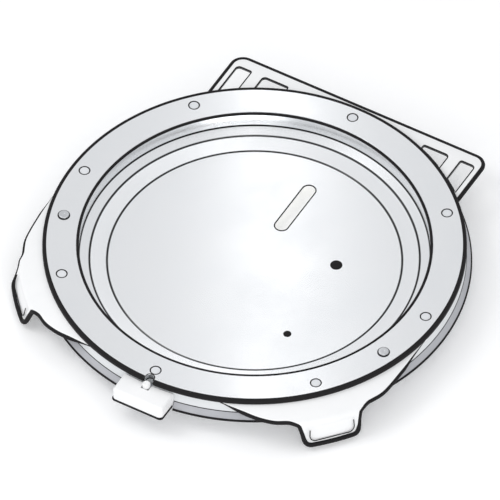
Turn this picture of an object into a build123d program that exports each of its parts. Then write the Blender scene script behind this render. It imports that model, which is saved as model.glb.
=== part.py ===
from build123d import *

import os
from math import cos, degrees, radians, sin, sqrt

os.makedirs("parts", exist_ok=True)

DIAGONAL = sqrt(0.5)

# A round manhole cover. A fixed frame with a spigot carries a screwed clamp ring, two
# down-turned ears, a rear grid and a sliding latch. A dished pan lifts out of its mouth.
# The origin is the centre of the spigot's bottom edge. +Z is up and -Y is the latch side.
# Lengths are millimetres. Angles are degrees from the latch side, positive towards +X.

# ---- plan sizes ----
mouth_r = 302.0  # opening in the clamp ring
ring_width = 54.0  # radial width of the clamp ring
wall_flare = 3.0  # how far the frame's outer wall leans out towards its foot
seal_flare = 10.0  # how far the seal's skirt stands out past that foot
ring_r = mouth_r + ring_width
wall_foot_r = ring_r + wall_flare
seal_r = wall_foot_r + seal_flare

# ---- heights, from the spigot's bottom edge upwards ----
spigot_h = 31.0
seal_h = 16.0
wall_h = 17.0
gasket_t = 3.0
ring_t = 8.0
seal_top = spigot_h + seal_h
frame_top = seal_top + wall_h
ring_z = frame_top + gasket_t
ring_top = ring_z + ring_t

# ---- clearances ----
slide_gap = 0.3  # between pieces of bodies that move apart
part_gap = 0.5  # round a piece that is let into another
pin_gap = 0.1  # radial, round a shank that fills its hole

# ---- lift-out pan ----
pan_t = 2.0
edge_leg_t = 1.6  # thickness of the edge seal's legs
edge_gap = 0.4  # between the edge seal and the ring's mouth
edge_leg_h = 3.5  # how far the legs reach down past the pan's bare edge
edge_round_r = 1.2
rim_drop = 2.0  # the pan's bare edge below the ring's top
shoulder_width = 18.0
wall_depth = 29.5  # from the ring's top down to the wall's foot
shoulder_drop = 6.9
dish_drop = 6.2
shoulder_depth = wall_depth + shoulder_drop
floor_depth = shoulder_depth + dish_drop
shoulder_slope = shoulder_drop / shoulder_width
dish_width = 29.8
bend_r = 4.0
pan_out_r = mouth_r - edge_gap - edge_leg_t
pan_in_r = pan_out_r - pan_t
shoulder_r = pan_in_r - shoulder_width
floor_r = shoulder_r - dish_width
pan_rim = ring_top - rim_drop
floor_z = ring_top - floor_depth
under_z = floor_z - pan_t

# ---- frame walls ----
flange_t = 9.0
outer_wall_t = 7.0
spigot_wall = 8.0
spigot_r = mouth_r + 13.0
neck_r = spigot_r - 3.0
seal_root = 6.0  # how far the seal's root reaches in past the frame's outer wall
seal_lip_in = 1.5
seal_lip_h = 3.0
ledge_width = 28.0
ledge_t = 6.6  # the ledge's thickness at its inner edge
ring_edge = 0.8  # chamfer along the clamp ring's top edges
overrun = 1.0  # how far a blank runs past the outline that trims it
seat_gasket_t = 3.0
seat_inset = 9.0  # between the ledge's inner edge and the seat gasket's
seat_outer_gap = 1.0  # between the seat gasket and the pan's wall
seat_drop = pan_t + slide_gap + seat_gasket_t
ledge_r = mouth_r - ledge_width

# ---- clamp ring fasteners ----
screw_angles = (0, 48, 90, 132, 180, 228, 270, 312)
screw_inset = 22.5  # screw circle, in from the ring's rim
screw_r = 5.0
head_r = 9.0
head_h = 4.0
socket_r = 4.0
socket_deep = 3.0
cap_r = 10.0
cap_h = 2.0
cap_edge = 0.4
screw_len = 13.0
screw_circle = ring_r - screw_inset
pin_angle = 71.25
pin_inset = 26.3
pin_r = 5.0
pin_head_r = 9.0
pin_head_h = 3.0
pin_head_edge = 0.4  # straight side left under the dome
pin_len = 18.0
pin_circle = ring_r - pin_inset

# ---- ears ----
ear_t = gasket_t
ear_lip = 10.0  # depth of the turned-down edge along the wings
ear_lip_t = 3.0
ear_crest_out = 47.0  # the bend at the top of the tongue, out from the ring's rim
ear_crest_drop = 13.5
ear_tip_out = 57.0
ear_tip_z = 6.0
ear_bend_r = 7.0
ear_bend_in = 1.5  # where the root ends and the slope starts, out from the ring's rim
ear_web = 1.5  # metal left behind the tongue where it meets the slope
ear_root_in = 36.0  # the root's inner edge, in from the ring's rim
ear_root_angles = (32.0, 78.0)
ear_wing_angles = (20.5, 84.0)
tongue_angles = (41.2, 56.3)
tongue_corner_r = 18.0
tongue_w = 2 * (ring_r + ear_tip_out) * sin(radians(tongue_angles[1] - tongue_angles[0]) / 2)
front_wing = ((26.0, 13.0), (31.0, 27.0), (35.5, 34.5), (38.8, 36.5), (40.4, 42.0))  # angle, out
rear_wing = ((57.2, 42.0), (59.0, 36.5), (63.0, 33.5), (70.0, 19.0), (77.0, 7.0))

# ---- rear grid ----
grid_t = 5.0
grid_side_in = 110.0  # the grid's side edges, in from the ring's rim
grid_past = 14.0  # past the ring's rim on the centre line
grid_corner_r = 25.0
grid_margin = 23.0  # solid strip along the far edge
grid_windows = ((132.0, 183.0), (204.0, 234.0))
window_corner_r = 3.0
window_gap = 5.0  # between the windows and the ring's rim
rivet_angles = (146.0, 160.0, 200.0, 214.0)
rivet_r = 2.5
rivet_head_r = 4.5
rivet_head_h = 1.5
rivet_len = 12.0
grid_root_in = 36.0
grid_far = ring_r + grid_past
grid_half = ring_r - grid_side_in
grid_near = sqrt((ring_r + wall_flare + part_gap) ** 2 - grid_half**2)

# ---- latch ----
bolt_w = 24.0
bolt_t = 5.0
bolt_over_foot = 2.5  # the bolt's underside over the foot of the pan's wall
bolt_z = ring_top - wall_depth + bolt_over_foot
bolt_travel = 12.0
bolt_back = 32.0  # the bolt's outer end, out from the ring's rim
bolt_rest_gap = 4.0  # from the pan's wall to the bolt's nose at rest
bolt_nose_edge = 3.0
bolt_nose = pan_out_r + bolt_rest_gap
house_w = 96.0
house_t = 3.0
house_out = 42.0
house_top = frame_top
house_under = 9.0  # the housing's lower edge under the bolt
house_corner_r = 7.0
house_edge_r = 5.0
cheek_h = 6.0
cheek_len = 8.0
boss_out = 4.0
boss_under = 8.0
guide_w = 40.0
base_t = 3.0
base_under = 7.0
rail_t = 5.0
rail_h = 6.0
knob_w = 13.0
knob_len = 13.0
knob_h = 7.5
knob_corner_r = 5.5
knob_edge_r = 1.5
knob_stem_r = 4.0
knob_neck_r = 5.0
knob_out = 8.5  # the knob's middle at rest, out from the ring's rim
knob_end_gap = 1.0  # left past the knob when the bolt is home
knob_slot_w = knob_w + 2 * part_gap + 2 * slide_gap
notch_r = ring_r + knob_out - knob_len / 2 - bolt_travel - knob_end_gap
post_r = 4.0
post_x = 38.0
post_in = 10.0
small_r = 1.75
small_head_r = 4.0
small_head_h = 2.4
small_len = 11.0
mount_screw_r = 3.0
mount_head_r = 5.0
mount_head_h = 4.0
mount_screw_len = 18.0
mount_x = 29.0
mount_over = 4.0  # the mounting screws over the bolt's underside
leaf_w = 8.0
leaf_t = 0.6
leaf_len = 20.0
leaf_gap = 2.0  # between the base's flange and the leaf
rail_end_gap = 5.0  # between the base's front edge and the rails
keeper_w = 36.0
keeper_t = 1.5
keeper_gap = 4.5  # past the bolt's nose when it is home
keeper_deep = bolt_travel - bolt_rest_gap - pan_t + keeper_gap + keeper_t
base_z = bolt_z - base_under
base_top = base_z + base_t
boss_z = bolt_z - boss_under
mount_z = bolt_z + mount_over
boss_face = ring_r + boss_out
house_front = ring_r + house_out
house_z = bolt_z - house_under
house_h = house_top - house_z

# ---- pieces on the pan ----
slot_w = 24.5
slot_len = 117.0
slot_from_edge = 53.7  # between the slot's outer end and the floor's edge
slot_y = floor_r - slot_from_edge - slot_len / 2
pocket_end_gap = 5.5  # past the slot's ends, for the key's T head
pocket_r = slot_len / 2 + pocket_end_gap
pocket_t = 2.0
pocket_deep = 18.0
pocket_flange = 10.0
slot_plate_t = 3.0
rib_w = 10.0
rib_h = 16.0
rib_end_gap = 15.0
rib_edge = 2.0
side_rib_gap = 9.0  # between the pocket's flange and the side ribs
side_rib_x = pocket_r + pocket_t + pocket_flange + side_rib_gap + rib_w / 2
side_rib_len = 180.0
drain_at = (125.5, 59.4)
drain_r = 10.5
drain_head_h = 2.0
drain_stem_r = 8.0
breather_at = (131.9, -118.0)
breather_r = 7.0
breather_head_h = 1.6
breather_stem_r = 5.0
plug_barb = 1.5  # how far a plug's barb stands out, and its height
plug_deep = 7.0  # a plug's length under the sheet
plug_shoulder = 0.3  # share of the head's height taken by its rounded edge


def polar(radius, angle):
    """The point at a radius and an angle from the latch side."""
    return (radius * sin(radians(angle)), -radius * cos(radians(angle)))


def seat_z(radius, drop):
    """Height of a cone parallel to the pan's shoulder, a drop below its inner face."""
    foot_z = ring_top - wall_depth - (pan_in_r - radius) * shoulder_slope
    return foot_z - drop * sqrt(1 + shoulder_slope**2)


def ear_plan(side, inset=0.0):
    """The ear's outline from above: a root under the ring, two wings and the tongue.

    An inset draws the wings and the tongue that much narrower, for the space inside them.
    """
    lean = inset * DIAGONAL
    turn = degrees(lean / ring_r)
    middle = sum(tongue_angles) / 2
    rim = ring_r + overrun
    neck = ring_r + ear_crest_out + overrun
    past = ring_r + ear_tip_out + part_gap
    root = ring_r - ear_root_in

    def at(radius, angle):
        """A point, turned towards the tongue's middle by the inset."""
        return polar(radius, side * (angle + (turn if angle < middle else -turn)))

    with BuildSketch() as plan:
        with BuildLine():
            front = Spline(
                at(rim, ear_wing_angles[0]),
                *[at(ring_r + out - lean, angle) for angle, out in front_wing],
                at(neck, tongue_angles[0]),
            )
            far_front = Line(front @ 1, at(past, tongue_angles[0]))
            far = ThreePointArc(far_front @ 1, polar(past, side * middle), at(past, tongue_angles[1]))
            far_rear = Line(far @ 1, at(neck, tongue_angles[1]))
            rear = Spline(
                far_rear @ 1,
                *[at(ring_r + out - lean, angle) for angle, out in rear_wing],
                at(rim, ear_wing_angles[1]),
            )
            root_rear = Line(rear @ 1, at(root, ear_root_angles[1]))
            inner = ThreePointArc(
                root_rear @ 1,
                polar(root, side * sum(ear_root_angles) / 2),
                at(root, ear_root_angles[0]),
            )
            Line(inner @ 1, front @ 0)
        make_face()
    return plan.sketch


def grid_plan():
    """The rear grid's outline from above, without its windows."""
    with BuildSketch() as plan:
        with Locations((0, (grid_near + grid_far) / 2)):
            Rectangle(2 * grid_half, grid_far - grid_near)
        fillet(plan.vertices().group_by(Axis.Y)[-1], radius=grid_corner_r)
        Circle(ring_r - grid_root_in, mode=Mode.SUBTRACT)
    return plan.sketch


def knob_notch():
    """The round-ended notch that the knob slides in, from above."""
    round_end = notch_r + knob_slot_w / 2
    outer = ring_r + knob_out + knob_len / 2 + slide_gap
    with BuildSketch() as plan:
        with Locations((0, -(round_end + outer) / 2)):
            Rectangle(knob_slot_w, outer - round_end)
        with Locations((0, -round_end)):
            Circle(knob_slot_w / 2)
    return plan.sketch


def write(piece, name):
    """Label a finished piece and write it to its own file."""
    piece.part.label = name
    export_step(piece.part, f"parts/{name}.step")


# ---- frame: top flange, outer wall, neck, tapered ledge and spigot in one casting ----
with BuildPart() as frame_ring:
    with BuildSketch(Plane.XZ):
        with BuildLine():
            Polyline(
                (mouth_r, frame_top),
                (ring_r, frame_top),
                (wall_foot_r, seal_top),
                (wall_foot_r - outer_wall_t, seal_top),
                (ring_r - outer_wall_t, frame_top - flange_t),
                (neck_r, frame_top - flange_t),
                (neck_r, spigot_h),
                (spigot_r, spigot_h),
                (spigot_r, 0),
                (spigot_r - spigot_wall, 0),
                (spigot_r - spigot_wall, seat_z(ledge_r, seat_drop) - ledge_t),
                (ledge_r, seat_z(ledge_r, seat_drop) - ledge_t),
                (ledge_r, seat_z(ledge_r, seat_drop)),
                (mouth_r, seat_z(mouth_r, seat_drop)),
                close=True,
            )
        make_face()
    revolve(axis=Axis.Z)
    # The boss that the latch is screwed to, and the block that guides its bolt.
    with BuildSketch(Plane.XY.offset(boss_z)):
        with Locations((0, -(boss_face + ring_r - outer_wall_t) / 2)):
            Rectangle(house_w - 2 * house_t - 2 * part_gap, boss_out + outer_wall_t)
        with Locations((0, -(boss_face + mouth_r) / 2)):
            Rectangle(guide_w, boss_face - mouth_r)
        Circle(neck_r - part_gap, mode=Mode.SUBTRACT)
    extrude(amount=house_top - house_t - slide_gap - boss_z)
    # The grid's pocket, the knob's notch and the bolt's channel.
    with BuildSketch(Plane.XY.offset(frame_top)):
        add(grid_plan())
        offset(amount=part_gap)
    extrude(amount=gasket_t - grid_t, mode=Mode.SUBTRACT)
    with BuildSketch(Plane.XY.offset(bolt_z + bolt_t)):
        add(knob_notch())
    extrude(amount=frame_top - bolt_z - bolt_t, mode=Mode.SUBTRACT)
    with BuildSketch(Plane.XY.offset(bolt_z - slide_gap)):
        with Locations((0, -(ring_r + mouth_r) / 2)):
            Rectangle(bolt_w + 2 * slide_gap, 2 * ring_width)
    extrude(amount=bolt_t + 2 * slide_gap, mode=Mode.SUBTRACT)
    # Holes for the ring's screws, the ears' pins, the grid's rivets and the latch's screws.
    with Locations(*[(*polar(screw_circle, a), frame_top) for a in screw_angles]):
        Hole(screw_r + pin_gap, depth=flange_t)
    with Locations(*[(*polar(pin_circle, a), frame_top) for a in (-pin_angle, pin_angle)]):
        Hole(pin_r + pin_gap, depth=flange_t)
    with Locations(*[(*polar(screw_circle, a), frame_top) for a in rivet_angles]):
        Hole(rivet_r + pin_gap, depth=flange_t)
    with Locations(Plane((0, -boss_face, mount_z), x_dir=(1, 0, 0), z_dir=(0, -1, 0))):
        with Locations((-mount_x, 0), (mount_x, 0)):
            Hole(mount_screw_r + pin_gap, depth=mount_screw_len)
write(frame_ring, "frame_ring")

# ---- flared rubber seal under the frame's outer wall ----
with BuildPart() as flange_seal:
    with BuildSketch(Plane.XZ):
        with BuildLine():
            Polyline(
                (wall_foot_r - outer_wall_t - seal_root, spigot_h),
                (seal_r, spigot_h),
                (seal_r - seal_lip_in, spigot_h + seal_lip_h),
                (wall_foot_r, seal_top),
                (wall_foot_r - outer_wall_t - seal_root, seal_top),
                close=True,
            )
        make_face()
    revolve(axis=Axis.Z)
    with BuildSketch(Plane.XY.offset(spigot_h)):
        with Locations((0, -(boss_face + seal_r) / 2 - part_gap)):
            Rectangle(house_w + 2 * part_gap, seal_r - boss_face + 2 * part_gap)
    extrude(amount=seal_h, mode=Mode.SUBTRACT)
    with BuildSketch(Plane.XY.offset(house_z - part_gap)):
        with Locations((0, -seal_r)):
            Rectangle(house_w + 2 * part_gap, 4 * outer_wall_t + 2 * seal_flare)
    extrude(amount=seal_top - house_z + part_gap, mode=Mode.SUBTRACT)
write(flange_seal, "flange_seal")

# ---- flat gasket between the frame and the clamp ring ----
with BuildPart() as ring_gasket:
    with BuildSketch(Plane.XY.offset(frame_top)):
        Circle(ring_r)
        Circle(mouth_r, mode=Mode.SUBTRACT)
        add(knob_notch(), mode=Mode.SUBTRACT)
        with Locations(*[polar(screw_circle, a) for a in screw_angles]):
            Circle(screw_r + pin_gap, mode=Mode.SUBTRACT)
    extrude(amount=gasket_t)
    with BuildSketch(Plane.XY.offset(frame_top)):
        add(ear_plan(-1))
        add(ear_plan(1))
        add(grid_plan())
        offset(amount=part_gap)
    extrude(amount=gasket_t, mode=Mode.SUBTRACT)
write(ring_gasket, "ring_gasket")

# ---- clamp ring, counterbored for its screws and notched for the latch's knob ----
with BuildPart() as clamp_ring:
    with BuildSketch(Plane.XY.offset(ring_z)):
        Circle(ring_r)
        Circle(mouth_r, mode=Mode.SUBTRACT)
        add(knob_notch(), mode=Mode.SUBTRACT)
    extrude(amount=ring_t)
    chamfer(clamp_ring.edges().group_by(Axis.Z)[-1], length=ring_edge)
    with Locations(*[(*polar(screw_circle, a), ring_top) for a in screw_angles]):
        CounterBoreHole(screw_r + pin_gap, cap_r + pin_gap, cap_h + head_h, depth=ring_t)
    with Locations(*[(*polar(pin_circle, a), ring_top) for a in (-pin_angle, pin_angle)]):
        Hole(pin_r + pin_gap, depth=ring_t)
write(clamp_ring, "clamp_ring")

# ---- ring screws with socket heads, and the plugs that fill the counterbores ----
with BuildPart() as ring_screws:
    with BuildSketch(Plane.XY.offset(ring_top - cap_h - head_h)):
        with Locations(*[polar(screw_circle, a) for a in screw_angles]):
            Circle(head_r)
    extrude(amount=head_h)
    with BuildSketch(Plane.XY.offset(ring_top - cap_h)):
        with Locations(*[polar(screw_circle, a) for a in screw_angles]):
            RegularPolygon(radius=socket_r, side_count=6)
    extrude(amount=-socket_deep, mode=Mode.SUBTRACT)
    with BuildSketch(Plane.XY.offset(ring_top - cap_h - head_h)):
        with Locations(*[polar(screw_circle, a) for a in screw_angles]):
            Circle(screw_r)
    extrude(amount=-screw_len)
write(ring_screws, "ring_screws")

with BuildPart() as screw_caps:
    with BuildSketch(Plane.XY.offset(ring_top - cap_h)):
        with Locations(*[polar(screw_circle, a) for a in screw_angles]):
            Circle(cap_r)
    extrude(amount=cap_h)
    chamfer(screw_caps.edges().group_by(Axis.Z)[-1], length=cap_edge)
write(screw_caps, "screw_caps")

# ---- domed pins that locate the ears ----
with BuildPart() as ear_pins:
    with BuildSketch(Plane.XY.offset(ring_top)):
        with Locations(*[polar(pin_circle, a) for a in (-pin_angle, pin_angle)]):
            Circle(pin_head_r)
    extrude(amount=pin_head_h)
    fillet(ear_pins.edges().group_by(Axis.Z)[-1], radius=pin_head_h - pin_head_edge)
    with BuildSketch(Plane.XY.offset(ring_top)):
        with Locations(*[polar(pin_circle, a) for a in (-pin_angle, pin_angle)]):
            Circle(pin_r)
    extrude(amount=-pin_len)
write(ear_pins, "ear_pins")


def ear_top_z(radius):
    """Height of the ear's slope."""
    fall = ear_crest_drop / (ear_crest_out - ear_bend_in)
    return ring_z - (radius - ring_r - ear_bend_in) * fall


def ear_sheet(drop):
    """Section of an ear: a root, a slope and a tongue, with the slope's edge a drop deep."""
    crest_r = ring_r + ear_crest_out
    crest_z = ring_z - ear_crest_drop
    start = ring_r + ear_bend_in
    with BuildSketch(Plane.XZ) as section:
        with BuildLine():
            Polyline(
                (ring_r - ear_root_in - overrun, ring_z),
                (start, ring_z),
                (crest_r, crest_z),
                (ring_r + ear_tip_out, ear_tip_z),
                (ring_r + ear_tip_out - ear_t, ear_tip_z),
                (crest_r - ear_t, crest_z - drop),
                (start + wall_flare, ring_z - drop),
                (start, ring_z - ear_t),
                (ring_r - ear_root_in - overrun, ring_z - ear_t),
                close=True,
            )
        make_face()
        crest = section.vertices().sort_by_distance((crest_r, crest_z, 0))[0]
        fillet(crest, radius=ear_bend_r)
    return section.sketch


def tongue_front(side):
    """The upright plane in front of a tongue, with its origin at the middle of the tip."""
    middle = side * sum(tongue_angles) / 2
    return Plane(
        (*polar(ring_r + ear_tip_out, middle), ear_tip_z),
        x_dir=(*polar(1, middle + 90), 0),
        z_dir=(*polar(1, middle), 0),
    )


def ear(side, name):
    """One ear, pressed from sheet, with its edge turned down along both wings."""
    # The space under the slope, inside the turned-down edge.
    inner_r = ring_r + ear_bend_in + wall_flare / 2
    outer_r = ring_r + ear_crest_out - ear_t - ear_web
    with BuildPart() as hollow:
        with BuildSketch(Plane.XZ):
            with BuildLine():
                Polyline(
                    (inner_r, 0),
                    (outer_r, 0),
                    (outer_r, ear_top_z(outer_r) - ear_t),
                    (inner_r, ear_top_z(inner_r) - ear_t),
                    close=True,
                )
            make_face()
        revolve(axis=Axis.Z)
        with BuildSketch():
            add(ear_plan(side, ear_lip_t))
        extrude(amount=ring_top, mode=Mode.INTERSECT)
    with BuildPart() as piece:
        add(revolve(ear_sheet(ear_lip), axis=Axis.Z, mode=Mode.PRIVATE))
        with BuildSketch():
            add(ear_plan(side))
        extrude(amount=ring_top, mode=Mode.INTERSECT)
        add(hollow.part, mode=Mode.SUBTRACT)
        # Round the tongue's two lower corners, seen from straight in front of it.
        with BuildSketch(tongue_front(side)):
            with Locations((0, tongue_corner_r / 2)):
                Rectangle(2 * tongue_w, tongue_corner_r)
            with Locations((0, 2 * tongue_corner_r)):
                RectangleRounded(tongue_w, 4 * tongue_corner_r, tongue_corner_r, mode=Mode.SUBTRACT)
        extrude(amount=ear_crest_out / 2, both=True, mode=Mode.SUBTRACT)
        with Locations((*polar(screw_circle, side * screw_angles[1]), ring_z)):
            Hole(screw_r + pin_gap, depth=2 * ear_t)
        with Locations((*polar(pin_circle, side * pin_angle), ring_z)):
            Hole(pin_r + pin_gap, depth=2 * ear_t)
    write(piece, name)


ear(-1, "ear_left")
ear(1, "ear_right")

# ---- rear grid, let into the frame and held by the ring's rear screw and four rivets ----
with BuildPart() as rear_grid:
    with BuildSketch(Plane.XY.offset(ring_z - grid_t)):
        add(grid_plan())
        with Locations(*[polar(screw_circle, a) for a in rivet_angles]):
            Circle(rivet_r + pin_gap, mode=Mode.SUBTRACT)
        with Locations(polar(screw_circle, screw_angles[4])):
            Circle(screw_r + pin_gap, mode=Mode.SUBTRACT)
    extrude(amount=grid_t)
    with BuildSketch(Plane.XY.offset(ring_z - grid_t)) as windows:
        for inner, outer in grid_windows:
            for side in (-1, 1):
                with Locations((side * (inner + outer) / 2, (grid_far - grid_margin) / 2)):
                    Rectangle(outer - inner, grid_far - grid_margin)
        Circle(ring_r + window_gap, mode=Mode.SUBTRACT)
        fillet(windows.vertices(), radius=window_corner_r)
    extrude(amount=grid_t, mode=Mode.SUBTRACT)
    with BuildSketch(Plane.XY.offset(ring_z)):
        with Locations(*[polar(screw_circle, a) for a in rivet_angles]):
            Circle(rivet_head_r + pin_gap)
    extrude(amount=-rivet_head_h, mode=Mode.SUBTRACT)
write(rear_grid, "rear_grid")

with BuildPart() as grid_rivets:
    with BuildSketch(Plane.XY.offset(ring_z)):
        with Locations(*[polar(screw_circle, a) for a in rivet_angles]):
            Circle(rivet_head_r)
    extrude(amount=-rivet_head_h)
    with BuildSketch(Plane.XY.offset(ring_z)):
        with Locations(*[polar(screw_circle, a) for a in rivet_angles]):
            Circle(rivet_r)
    extrude(amount=-rivet_len)
write(grid_rivets, "grid_rivets")

# ---- gasket on the frame's tapered ledge, which the pan comes down on ----
with BuildPart() as seat_gasket:
    low_r, high_r = (ledge_r + seat_inset, pan_in_r - seat_outer_gap)
    top, bottom = (pan_t + slide_gap, seat_drop)
    with BuildSketch(Plane.XZ):
        with BuildLine():
            Polyline(
                (low_r, seat_z(low_r, bottom)),
                (high_r, seat_z(high_r, bottom)),
                (high_r, seat_z(high_r, top)),
                (low_r, seat_z(low_r, top)),
                close=True,
            )
        make_face()
    revolve(axis=Axis.Z)
write(seat_gasket, "seat_gasket")

# ---- latch housing: a cap open below and towards the ring ----
with BuildPart() as latch_housing:
    back = ring_r - house_t
    with BuildSketch(Plane.XY.offset(house_z)):
        with Locations((0, -(back + house_front) / 2)):
            Rectangle(house_w, house_front - back)
    extrude(amount=house_h)
    fillet(latch_housing.edges().filter_by(Axis.Z).group_by(Axis.Y)[0], radius=house_corner_r)
    fillet(
        latch_housing.faces().sort_by(Axis.Z)[-1].edges().group_by(Axis.Y)[0],
        radius=house_edge_r,
    )
    with BuildSketch(Plane.XY.offset(house_z)):
        with Locations((0, -(back + house_front - house_t) / 2)):
            Rectangle(house_w - 2 * house_t, house_front - house_t - back)
    extrude(amount=house_h - house_t, mode=Mode.SUBTRACT)
    with BuildSketch(Plane.XY.offset(house_z)):
        with Locations((-post_x, post_in - house_front), (post_x, post_in - house_front)):
            Circle(post_r)
    extrude(amount=house_h - house_t)
    with BuildSketch(Plane.XY.offset(house_z - cheek_h)):
        for side in (-1, 1):
            with Locations((side * (house_w - house_t) / 2, -boss_face - cheek_len / 2)):
                Rectangle(house_t, cheek_len)
    extrude(amount=cheek_h)
    with BuildSketch(Plane.XY.offset(house_z)):
        with Locations((-post_x, post_in - house_front), (post_x, post_in - house_front)):
            Circle(post_r)
    extrude(amount=base_top - house_z, mode=Mode.SUBTRACT)
    with BuildSketch(Plane.XY.offset(house_z)):
        with Locations((-post_x, post_in - house_front), (post_x, post_in - house_front)):
            Circle(small_r + pin_gap)
    extrude(amount=base_t + small_len, mode=Mode.SUBTRACT)
    with BuildSketch(Plane.XY.offset(house_z - cheek_h)):
        Circle(wall_foot_r + part_gap)
    extrude(amount=house_h + cheek_h, mode=Mode.SUBTRACT)
    with BuildSketch(Plane.XY.offset(house_top)):
        add(knob_notch())
    extrude(amount=-house_t, mode=Mode.SUBTRACT)
write(latch_housing, "latch_housing")

# ---- latch base: floor, back flange and two rails for the bolt ----
with BuildPart() as latch_base:
    base_half = house_w / 2 - house_t - part_gap
    front = house_front - house_t - part_gap
    with BuildSketch(Plane.XY.offset(base_z)):
        with Locations((0, -(boss_face + front) / 2)):
            Rectangle(2 * base_half, front - boss_face)
        with Locations((-post_x, post_in - house_front), (post_x, post_in - house_front)):
            Circle(small_r + pin_gap, mode=Mode.SUBTRACT)
    extrude(amount=base_t)
    fillet(latch_base.edges().filter_by(Axis.Z).group_by(Axis.Y)[0], radius=house_corner_r - house_t)
    with BuildSketch(Plane.XY.offset(base_top)):
        with Locations((0, -boss_face - base_t / 2)):
            Rectangle(2 * base_half, base_t)
            Rectangle(bolt_w + 2 * part_gap, base_t, mode=Mode.SUBTRACT)
    extrude(amount=house_top - house_t - slide_gap - base_top)
    rail_x = bolt_w / 2 + part_gap + rail_t / 2
    rail_end = front - rail_end_gap
    with BuildSketch(Plane.XY.offset(base_top)):
        with Locations((-rail_x, -(boss_face + rail_end) / 2), (rail_x, -(boss_face + rail_end) / 2)):
            Rectangle(rail_t, rail_end - boss_face)
    extrude(amount=rail_h)
    with Locations(Plane((0, -boss_face - base_t, mount_z), x_dir=(1, 0, 0), z_dir=(0, -1, 0))):
        with Locations((-mount_x, 0), (mount_x, 0)):
            Hole(mount_screw_r + pin_gap, depth=base_t)
write(latch_base, "latch_base")

with BuildPart() as latch_screws:
    head_plane = Plane((0, -boss_face - base_t, mount_z), x_dir=(1, 0, 0), z_dir=(0, -1, 0))
    with BuildSketch(head_plane):
        with Locations((-mount_x, 0), (mount_x, 0)):
            Circle(mount_head_r)
    extrude(amount=mount_head_h)
    with BuildSketch(head_plane):
        with Locations((-mount_x, 0), (mount_x, 0)):
            Circle(mount_screw_r)
    extrude(amount=-mount_screw_len)
write(latch_screws, "latch_screws")

with BuildPart() as housing_screws:
    with BuildSketch(Plane.XY.offset(base_z)):
        with Locations((-post_x, post_in - house_front), (post_x, post_in - house_front)):
            Circle(small_head_r)
    extrude(amount=-small_head_h)
    with BuildSketch(Plane.XY.offset(base_z)):
        with Locations((-post_x, post_in - house_front), (post_x, post_in - house_front)):
            Circle(small_r)
    extrude(amount=small_len)
write(housing_screws, "housing_screws")

# ---- leaf spring that presses up under the bolt ----
with BuildPart() as latch_spring:
    crest = bolt_z - slide_gap
    middle = boss_face + base_t + leaf_gap + leaf_len / 2
    with BuildSketch(Plane.YZ.offset(-leaf_w / 2)):
        with BuildLine():
            Polyline(
                (-middle - leaf_len / 2, base_top),
                (-middle, crest - leaf_t),
                (-middle + leaf_len / 2, base_top),
                (-middle + leaf_len / 2, base_top + leaf_t),
                (-middle, crest),
                (-middle - leaf_len / 2, base_top + leaf_t),
                close=True,
            )
        make_face()
    extrude(amount=leaf_w)
write(latch_spring, "latch_spring")

# ---- flat bolt and the knob that is screwed into it ----
with BuildPart() as latch_bolt:
    with BuildSketch(Plane.XY.offset(bolt_z)):
        with Locations((0, -(bolt_nose + ring_r + bolt_back) / 2)):
            Rectangle(bolt_w, ring_r + bolt_back - bolt_nose)
        with Locations((0, -ring_r - knob_out)):
            Circle(knob_stem_r + pin_gap, mode=Mode.SUBTRACT)
    extrude(amount=bolt_t)
    chamfer(latch_bolt.edges().filter_by(Axis.Z).group_by(Axis.Y)[-1], length=bolt_nose_edge)
write(latch_bolt, "latch_bolt")

with BuildPart() as latch_knob:
    with BuildSketch(Plane.XY.offset(bolt_z)):
        with Locations((0, -ring_r - knob_out)):
            Circle(knob_stem_r)
    extrude(amount=bolt_t)
    with BuildSketch(Plane.XY.offset(bolt_z + bolt_t)):
        with Locations((0, -ring_r - knob_out)):
            Circle(knob_neck_r)
    extrude(amount=house_top + part_gap - bolt_z - bolt_t)
    with BuildSketch(Plane.XY.offset(house_top + part_gap)):
        with Locations((0, -ring_r - knob_out)):
            RectangleRounded(knob_w, knob_len, knob_corner_r)
    extrude(amount=knob_h)
    fillet(latch_knob.edges().group_by(Axis.Z)[-1], radius=knob_edge_r)
write(latch_knob, "latch_knob")

# ---- lift-out pan: one dished sheet with a key slot, two plugged holes and the bolt's hole ----
with BuildPart() as pan:
    with BuildSketch(Plane.XZ):
        with BuildLine():
            FilletPolyline(
                (0, floor_z),
                (floor_r, floor_z),
                (shoulder_r, ring_top - shoulder_depth),
                (pan_in_r, ring_top - wall_depth),
                (pan_in_r, pan_rim),
                radius=bend_r,
            )
            offset(amount=pan_t, side=Side.RIGHT)
        make_face()
    revolve(axis=Axis.Z)
    with BuildSketch(Plane.XY.offset(under_z)):
        with Locations((0, slot_y)):
            SlotOverall(slot_len, slot_w, rotation=90)
        with Locations(drain_at):
            Circle(drain_stem_r)
        with Locations(breather_at):
            Circle(breather_stem_r)
    extrude(amount=pan_t, mode=Mode.SUBTRACT)
    with BuildSketch(Plane.XY.offset(bolt_z - part_gap)):
        with Locations((0, -pan_in_r)):
            Rectangle(bolt_w + 2 * part_gap, 6 * pan_t)
    extrude(amount=bolt_t + 2 * part_gap, mode=Mode.SUBTRACT)
write(pan, "pan")

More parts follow.
